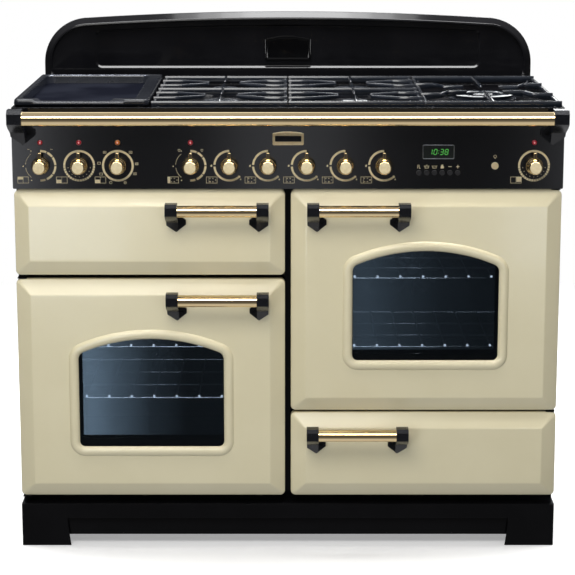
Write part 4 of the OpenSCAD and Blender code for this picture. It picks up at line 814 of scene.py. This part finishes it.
# ---- knobs
KNOBS = ["knob_" + use for use in ("grill", "left_heat", "left_mode", "griddle", "burner_1", "burner_2", "burner_3",
                                   "burner_4", "burner_5", "right_heat")]
PANEL_Y = round(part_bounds("control_panel")[0].y / MM, 3)


def knob_place(name):
    """The middle of a knob's round body in mm."""
    lo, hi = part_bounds(name)
    return (lo.x + hi.x) / 2 / MM, lo.z / MM + (hi.x - lo.x) / 2 / MM


FACE_FROM, POINTER_HALF = 34.5, 4.6


def knob(name):
    """A turned brass knob with a domed face and a raised pointer that carries a dark line."""
    x, z = knob_place(name)
    profile = [(0, 0), (16.0, 0), (17.0, 0.6), (17.5, 2.2), (17.5, 6.0), (17.1, 9.4), (16.0, 12.4), (14.2, 14.8),
               (12.6, 16.6), (11.9, 18.8), (12.0, 21.4), (12.8, 23.6), (13.5, 26.0), (13.8, 28.6), (13.6, 30.8),
               (13.0, 32.3), (12.2, 33.2), (11.2, 33.6), (6.0, 33.8), (0, 33.9)]
    bm = lathe([(r, -d) for r, d in profile], (x * MM, (PANEL_Y - 1) * MM, z * MM))
    for f in bm.faces:
        if all(v.co.y < (PANEL_Y - FACE_FROM) * MM for v in f.verts):
            f.material_index = 2
    # the pointer: a rounded bar whose outline tapers to a blunt tip
    half = [(POINTER_HALF, 2), (4.4, 12), (3.4, 18), (3.5, 24), (3.2, 27.6), (2.2, 28.4)]

    def prism(points, levels):
        rows = loop_strip(bm, [[Vector((x + px * (1 - inset / POINTER_HALF), PANEL_Y - 1 - depth,
                                        z + pz - (inset if pz > 26 else 0))) * MM for px, pz in points]
                               for inset, depth in levels])
        bm.faces.new(rows[0])
        bm.faces.new(rows[-1])
    prism([(-px, pz) for px, pz in half] + half[::-1], [(0, 8.0), (0, 17.2), (0.5, 18.4), (1.4, 19.0)])
    brass_faces = len(bm.faces)
    line = [(-0.7, 18.5), (-0.7, 26.4), (0.7, 26.4), (0.7, 18.5)]
    prism(line, [(0, 18.8), (0, 19.15)])
    bm.faces.ensure_lookup_table()
    for f in bm.faces[brass_faces:]:
        f.material_index = 1
    weighted(stand_in(name + "_turned", bm, name, ("brass", "bracket_black", "knob_face")))


for name in KNOBS:
    knob(name)


# ---- printed marks on the panel
class Print:
    """Thin printed shapes on the control panel, in mm about a middle point."""

    def __init__(self, x, z, y=PANEL_Y, thick=0.15):
        self.bm, self.x, self.z, self.y, self.t = bmesh.new(), x, z, y, thick

    def shape(self, points):
        front, back = ([self.bm.verts.new(Vector((self.x + a, self.y - depth, self.z + b)) * MM) for a, b in points]
                       for depth in (self.t, 0.004))
        self.bm.faces.new(front)
        self.bm.faces.new(back[::-1])
        quads(self.bm, back, front)

    def box(self, x0, z0, x1, z1):
        self.shape([(x0, z0), (x1, z0), (x1, z1), (x0, z1)])

    def arc(self, r0, r1, a0, a1, cx=0, cz=0, step=6):
        """A piece of a ring from a0 to a1, degrees counter-clockwise from +X."""
        count = max(2, int(abs(a1 - a0) / step))
        for k in range(count):
            b0, b1 = (a0 + (a1 - a0) * i / count for i in (k, k + 1))
            self.shape([(cx + r * cosd(b), cz + r * sind(b))
                        for r, b in ((r0, b0), (r1, b0), (r1, b1), (r0, b1))])

    def dot(self, cx, cz, r, sides=14):
        self.shape([(cx + a, cz + b) for a, b in (polar(r, 360 * k / sides) for k in range(sides))])

    def line(self, x0, z0, x1, z1, w=0.7):
        d = Vector((x1 - x0, z1 - z0)).normalized() * w / 2
        self.shape([(x0 + d.y, z0 - d.x), (x1 + d.y, z1 - d.x), (x1 - d.y, z1 + d.x), (x0 - d.y, z0 + d.x)])

    def outline(self, x0, z0, x1, z1, w=0.8):
        self.box(x0, z0, x1, z0 + w)
        self.box(x0, z1 - w, x1, z1)
        self.box(x0, z0 + w, x0 + w, z1 - w)
        self.box(x1 - w, z0 + w, x1, z1 - w)

    def done(self, name, mat="legend_gold"):
        bmesh.ops.remove_doubles(self.bm, verts=self.bm.verts, dist=1e-7)
        piece(name, self.bm, "cabinet", mat)


def flame(p, x, z, s=1.0):
    p.shape([(x + a * s, z + b * s) for a, b in ((0, -2.6), (1.7, -1.6), (2.0, 0), (1.1, 1.4), (0.9, 2.9),
                                                (-0.5, 1.8), (-1.7, 0.4), (-1.8, -1.2), (-1.1, -2.3))])


def location(p, spot, on_hob):
    """The small map of the cooker beside each knob, with the spot that the knob works."""
    x, z = -35, -28.5
    p.outline(x - 11, z - 6.5, x + 11, z + 6.5, 0.7)
    a, b, c, d = spot
    p.box(x + a, z + b, x + c, z + d)
    if on_hob:
        p.line(x - 5.6, z - 5.8, x - 5.6, z + 5.8, 0.5)
        for a, b in ((-3.4, -3.4), (-3.4, 3.2), (2.4, 3.2), (2.4, -3.4), (7.6, 0)):
            p.line(x + a - 1.2, z + b, x + a + 1.2, z + b, 0.6)
            p.line(x + a, z + b - 1.2, x + a, z + b + 1.2, 0.6)
    else:
        p.line(x, z - 5.8, x, z + 5.8, 0.5)


RING_IN, RING_OUT = 27.3, 31.5
SPOTS = ((-10.3, 1, 0, 5.8), (-10.3, -5.8, -0.8, 0.6), (-10.3, -5.8, -0.8, 0.6), (-10.3, -5.8, -5.5, 5.8),
         (-4.6, -4.6, -2.2, -2.2), (-4.6, 2.0, -2.2, 4.4), (1.2, 2.0, 3.6, 4.4), (1.2, -4.6, 3.6, -2.2),
         (6.2, -1.4, 9, 1.4), (0.8, -3.6, 10.3, 5.8))


def legend(index):
    x, z = knob_place(KNOBS[index])
    p = Print(x, z)
    if index in (1, 9):
        # temperature scale: solid above, graduated below
        p.arc(RING_IN, RING_OUT, 10, 180, step=5)
        for k in range(19):
            a = 181 + k * 10
            p.arc(RING_IN, RING_OUT, a, a + 8.2, step=4.1)
        for a in range(190, 360, 20):
            p.dot(*polar(22.5, a), 0.75, 8)
    elif index == 2:
        p.arc(RING_IN, RING_OUT, 0, 360, step=5)
        for a, kind in ((133, 0), (172, 1), (207, 1), (247, 2), (292, 3), (334, 0), (6, 4), (47, 0)):
            cx, cz = 37.5 * cosd(a), 36.5 * sind(a)
            if kind in (0, 1, 4):
                p.outline(cx - 3.2, cz - 2.4, cx + 3.2, cz + 2.4, 0.6)
            if kind in (0, 3):
                p.line(cx - 1.8, cz - 1.4, cx + 1.8, cz + 1.4, 0.6)
                p.line(cx - 1.8, cz + 1.4, cx + 1.8, cz - 1.4, 0.6)
            if kind in (2, 3):
                p.arc(2.3, 3.0, 0, 360, cx, cz, step=30)
            if kind == 4:
                for k in (-1.6, 0, 1.6):
                    p.box(cx + k - 0.35, cz - 1.6, cx + k + 0.35, cz + 1.6)
    elif index in (0, 3):
        # power scale on the right, small marks on the left
        for a, b in ((66, 90), (38, 62), (2, 34), (-34, -2), (-66, -38), (-92, -72)):
            p.arc(RING_IN, RING_OUT, a, b, step=5)
        for a in (122, 182, 238):
            p.dot(*polar(34.5, a), 1.3, 8)
        p.arc(29.4, 30.0, 128, 176, step=5)
        p.arc(29.4, 30.0, 188, 232, step=5)
        for s in (-1, 1):
            p.line(22.6 * s - 2.4, 32.6, 22.6 * s + 2.4, 32.6, 0.7)
            if index == 3:
                p.arc(1.7, 2.4, 0, 360, 22.6 * s, 30.4, step=40)
    else:
        # gas: large to small flame, counter-clockwise from the top
        p.arc(RING_IN, RING_OUT, 90, 176.5, step=5)
        p.arc(RING_IN, RING_OUT, 183.5, 306, step=5)
        p.dot(*polar(29.4, 311), 2.6, 12)
        flame(p, -35.6, 0, 0.95)
        flame(p, 22.2, -27.2, 0.7)
    location(p, SPOTS[index], 3 <= index <= 8)
    p.done("legend_%d" % (index + 1))


for index in range(10):
    legend(index)

# ---- lamps
LAMP_SIDES = 12
# radius, depth from the panel's face and turn of each ring of a lens
LENS = ((4.0, 14, 0), (4.5, 1.4, 0), (4.5, 0.0, 0), (4.9, -0.1, 0), (4.6, -0.9, 0.5), (3.6, -1.8, 0),
        (1.8, -2.4, 0.5))
lamp_bm = bmesh.new()
lo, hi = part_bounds("indicator_lamps")
LAMP_Z = (lo.z + hi.z) / 2 / MM
for index in (0, 1, 2, 3, 9):
    x, _ = knob_place(KNOBS[index])
    rings = []
    for r, d, turn in LENS:
        spots = (polar(r, 360 * (k + turn) / LAMP_SIDES) for k in range(LAMP_SIDES))
        rings.append([lamp_bm.verts.new(Vector((x + a, PANEL_Y + d, LAMP_Z + b)) * MM) for a, b in spots])
    faces = [f for a, b in zip(rings, rings[1:]) for f in quads(lamp_bm, a, b)]
    faces += [lamp_bm.faces.new(rings[0]), lamp_bm.faces.new(rings[-1])]
    for f in faces:
        f.material_index = 1 if index == 2 else 0
    # the lens's front cap takes the pale, brighter core: partly lamp glow, partly a painted highlight
    faces[-1].material_index = 2
smooth(stand_in("lamp_lenses", lamp_bm, "indicator_lamps", ("lamp_red", "lamp_amber", "lamp_core_glow_and_glint")))

# ---- clock
b_lo, b_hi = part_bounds("timer_button_1")
e_lo, e_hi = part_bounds("timer_button_6")
CLOCK_X = (b_lo.x + e_hi.x) / 2 / MM
BTN_Z = (b_lo.z + b_hi.z) / 2 / MM
CLOCK_W, CLOCK_H = 62.0, 27.5
CLOCK_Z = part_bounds("clock_display")[1].z / MM - 6 - CLOCK_H / 2


bm = bmesh.new()
rows = loop_strip(bm, [rect_loop(CLOCK_W + a, CLOCK_H + a, 3 + a / 2, CLOCK_X, PANEL_Y - d, CLOCK_Z) for a, d in (
    (1.6, 0.01), (1.2, 0.7), (0.2, 1.1), (-1.6, 0.9), (-2.6, 0.2), (-2.6, 0.01))])
quads(bm, rows[-1], rows[0])
smooth(piece("clock_surround", bm, "cabinet", "clock_rim"))

SEGMENTS = {"a": (0.12, 1.0, 0.88, 1.0), "b": (1.0, 0.94, 1.0, 0.56), "c": (1.0, 0.44, 1.0, 0.06),
            "d": (0.12, 0.0, 0.88, 0.0), "e": (0.0, 0.06, 0.0, 0.44), "f": (0.0, 0.56, 0.0, 0.94),
            "g": (0.12, 0.5, 0.88, 0.5)}
DIGIT_W, DIGIT_H, SLANT, STROKE = 5.8, 10.4, 1.6, 1.45
p = Print(CLOCK_X, CLOCK_Z, PANEL_Y, 0.08)
for lit, x0 in (("bc", -18.5), ("abcdef", -9.0), ("abcdg", 3.6), ("abcdefg", 13.0)):
    for u0, v0, u1, v1 in (SEGMENTS[seg] for seg in lit):
        p.line(x0 + u0 * DIGIT_W + (v0 - 0.5) * SLANT, (v0 - 0.5) * DIGIT_H,
               x0 + u1 * DIGIT_W + (v1 - 0.5) * SLANT, (v1 - 0.5) * DIGIT_H, STROKE)
p.dot(0.6, 2.4, 0.8, 8)
p.dot(0.1, -2.4, 0.8, 8)
p.done("clock_digits", "digit_green")

# timer symbols over the six buttons, and the light switch's symbol
p = Print(CLOCK_X, BTN_Z + 12.2)
for k in range(6):
    x = ((b_lo.x + b_hi.x) / 2 / MM - CLOCK_X) + k * (e_lo.x - b_lo.x) / MM / 5
    if k == 0:
        p.line(x - 2.6, -3.6, x - 2.6, 3.6, 0.9)
        p.arc(1.3, 2.2, -90, 90, x - 1.2, 1.6, step=30)
        p.line(x + 0.6, -3.6, x + 0.6, -0.4, 0.9)
        p.line(x + 0.6, -3.6, x + 3.2, -3.6, 0.9)
    elif k in (1, 2):
        p.outline(x - 3.8, -3.2, x + 3.8, 1.4, 0.9)
        p.line(x - 5.4, 1.2, x + 5.4, 1.2, 0.9)
        if k == 1:
            p.line(x - 1.6, 3.0, x + 1.6, 3.0, 0.9)
    elif k == 3:
        p.shape([(x + a, b) for a, b in (
            (-3.2, -3.6), (2.6, -3.6), (3.6, -0.4), (2.0, 0.6), (1.8, 3.8), (-1.2, 4.0), (-2.6, 1.2))])
    else:
        p.line(x - 3.2, 0, x + 3.2, 0, 1.0)
        if k == 5:
            p.box(x - 0.5, 0.5, x + 0.5, 3.3)
            p.box(x - 0.5, -3.3, x + 0.5, -0.5)
p.done("timer_symbols")
lo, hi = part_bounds("light_button")
LIGHT_X, LIGHT_Z = (lo.x + hi.x) / 2 / MM, (lo.z + hi.z) / 2 / MM
p = Print(LIGHT_X, LIGHT_Z + 18)
p.arc(2.2, 3.0, -60, 240, 0, 0.6, step=20)
p.box(-1.3, -3.4, 1.3, -1.9)
p.done("light_symbol")

# ---- bare brass plate and plaque
def arched(w, h, rise, steps=20):
    """An upright plate's outline with a shallow arched head, about its middle, in mm."""
    pts = [(-w / 2 + 2, -h / 2), (w / 2 - 2, -h / 2), (w / 2, -h / 2 + 2), (w / 2, h / 2 - rise)]
    for k in range(1, steps):
        t = -1 + 2 * k / steps
        pts.append((-t * w / 2, h / 2 - rise * t * t))
    pts += [(-w / 2, h / 2 - rise), (-w / 2, -h / 2 + 2)]
    return pts


def plate(name, cx, y, cz, w, h, rise, mat, levels):
    """A plate with a stepped edge. levels holds (inset, proud) from the back to the face."""
    bm = bmesh.new()
    loops = []
    for inset, proud in levels:
        loops.append([Vector((cx + a, y - proud, cz + b)) * MM
                      for a, b in arched(w - 2 * inset, h - 2 * inset, rise * (w - 2 * inset) / w)])
    rows = loop_strip(bm, loops)
    bm.faces.new(rows[0])
    bm.faces.new(rows[-1])
    weighted(piece(name, bm, "cabinet", mat))


plate("bare_plaque", 0, 326.5, 970, 103, 56, 8, "black_enamel",
      [(0, 0), (0, 4.0), (0.6, 5.6), (1.8, 6.6), (3.0, 6.8), (4.2, 6.6), (5.2, 5.8), (6.2, 4.6), (7.2, 4.4)])
plate("bare_plate", 0.5, PANEL_Y, 844.5, 62, 27, 3.5, "brass_satin",
      [(0, 0.01), (0, 1.0), (0.5, 1.5), (1.6, 1.7), (2.2, 1.3), (3.2, 1.3)])
bm = bmesh.new()
rows = loop_strip(bm, [rect_loop(a, b, r, 0.5, PANEL_Y - d, 844, 4)
                       for a, b, r, d in ((52, 11.5, 1.5, 1.3), (52, 11.5, 1.5, 1.5), (51, 10.5, 1.2, 1.7))])
bm.faces.new(rows[0])
bm.faces.new(rows[-1])
weighted(piece("bare_plate_band", bm, "cabinet", "bracket_black"))


# ---- CAD nodes that stay
for ob in frame["nodes"].values():
    for slot in ob.material_slots:
        slot.material = MATS[slot.material.name.split(".")[0]]
for slot in frame["nodes"]["light_button"].material_slots:
    slot.material = MATS["brass_satin"]

# ---- floor
floor_mesh = bpy.data.meshes.new("floor")
floor_mesh.from_pydata([(-9, -6, 0), (9, -6, 0), (9, 3.6, 0), (-9, 3.6, 0)], [], [(0, 1, 2, 3)])
floor = bpy.data.objects.new("floor", floor_mesh)
scene.collection.objects.link(floor)
floor.location.z = -0.0005
floor_paint = material("floor_paint", (0.86, 0.86, 0.86), (0.85, 0.85, 0.85), rough=0.8, scale=3, spec=0.1,
                       emission=((1, 1, 1), 0.30))
floor_mesh.materials.append(floor_paint)
# far from the cooker the floor turns into the white background
nt = floor_paint.node_tree
place, white, blend = node(nt, "TexCoord"), node(nt, "Emission"), node(nt, "MixShader")
away = node(nt, "VectorMath")
away.operation = "LENGTH"
fade = node(nt, "MapRange", From_Min=1.1, From_Max=2.6)
wire_up(nt, (place, "Object", away, 0), (away, "Value", fade, "Value"), (fade, "Result", blend, "Fac"),
        (nt.nodes["Principled BSDF"], "BSDF", blend, 1), (white, "Emission", blend, 2),
        (blend, "Shader", nt.nodes["Material Output"], "Surface"))
floor.visible_diffuse = floor.visible_glossy = False


def has(ob, *names):
    return any(MATS[name] in list(ob.data.materials) for name in names)


def link(lights, keep, blocks=None):
    """The lights fall only on the meshes for which keep(object) is true. blocks, if given, picks what shades them."""
    for light in lights:
        light.light_linking.receiver_collection = chosen(light.name + "_on", keep)
        if blocks:
            light.light_linking.blocker_collection = chosen(light.name + "_shades", blocks)


def on_splash(ob):
    return ob.name == "splashback_shell"


def on_brass(ob):
    return has(ob, "brass")


def on_cream(ob):
    return has(ob, "cream_enamel")


PLAQUE, GRIDDLE = "bare_plaque", "griddle_cast"
link([key, overhead], lambda ob: not on_brass(ob) and ob.name != PLAQUE)
link([back], lambda ob: not on_brass(ob) and ob.name not in (PLAQUE, GRIDDLE))
link([floor_wash], lambda ob: not on_brass(ob) and not on_splash(ob) and ob.name not in (PLAQUE, GRIDDLE))
link([brass_key, brass_top], on_brass)
link(splash_glows, on_splash)
link([step_glow], on_splash, on_splash)
link(plaque_glows, lambda ob: ob.name == PLAQUE)
link(cream_glows, on_cream)
link([bevel_glow], on_cream, on_cream)
link(panel_glows, lambda ob: has(ob, "panel_black"))
link([glass_fill], lambda ob: has(ob, "painted_sheen_left", "painted_sheen_right", "painted_glint_tip"), lambda ob: has(ob, "painted_glint_tip"))
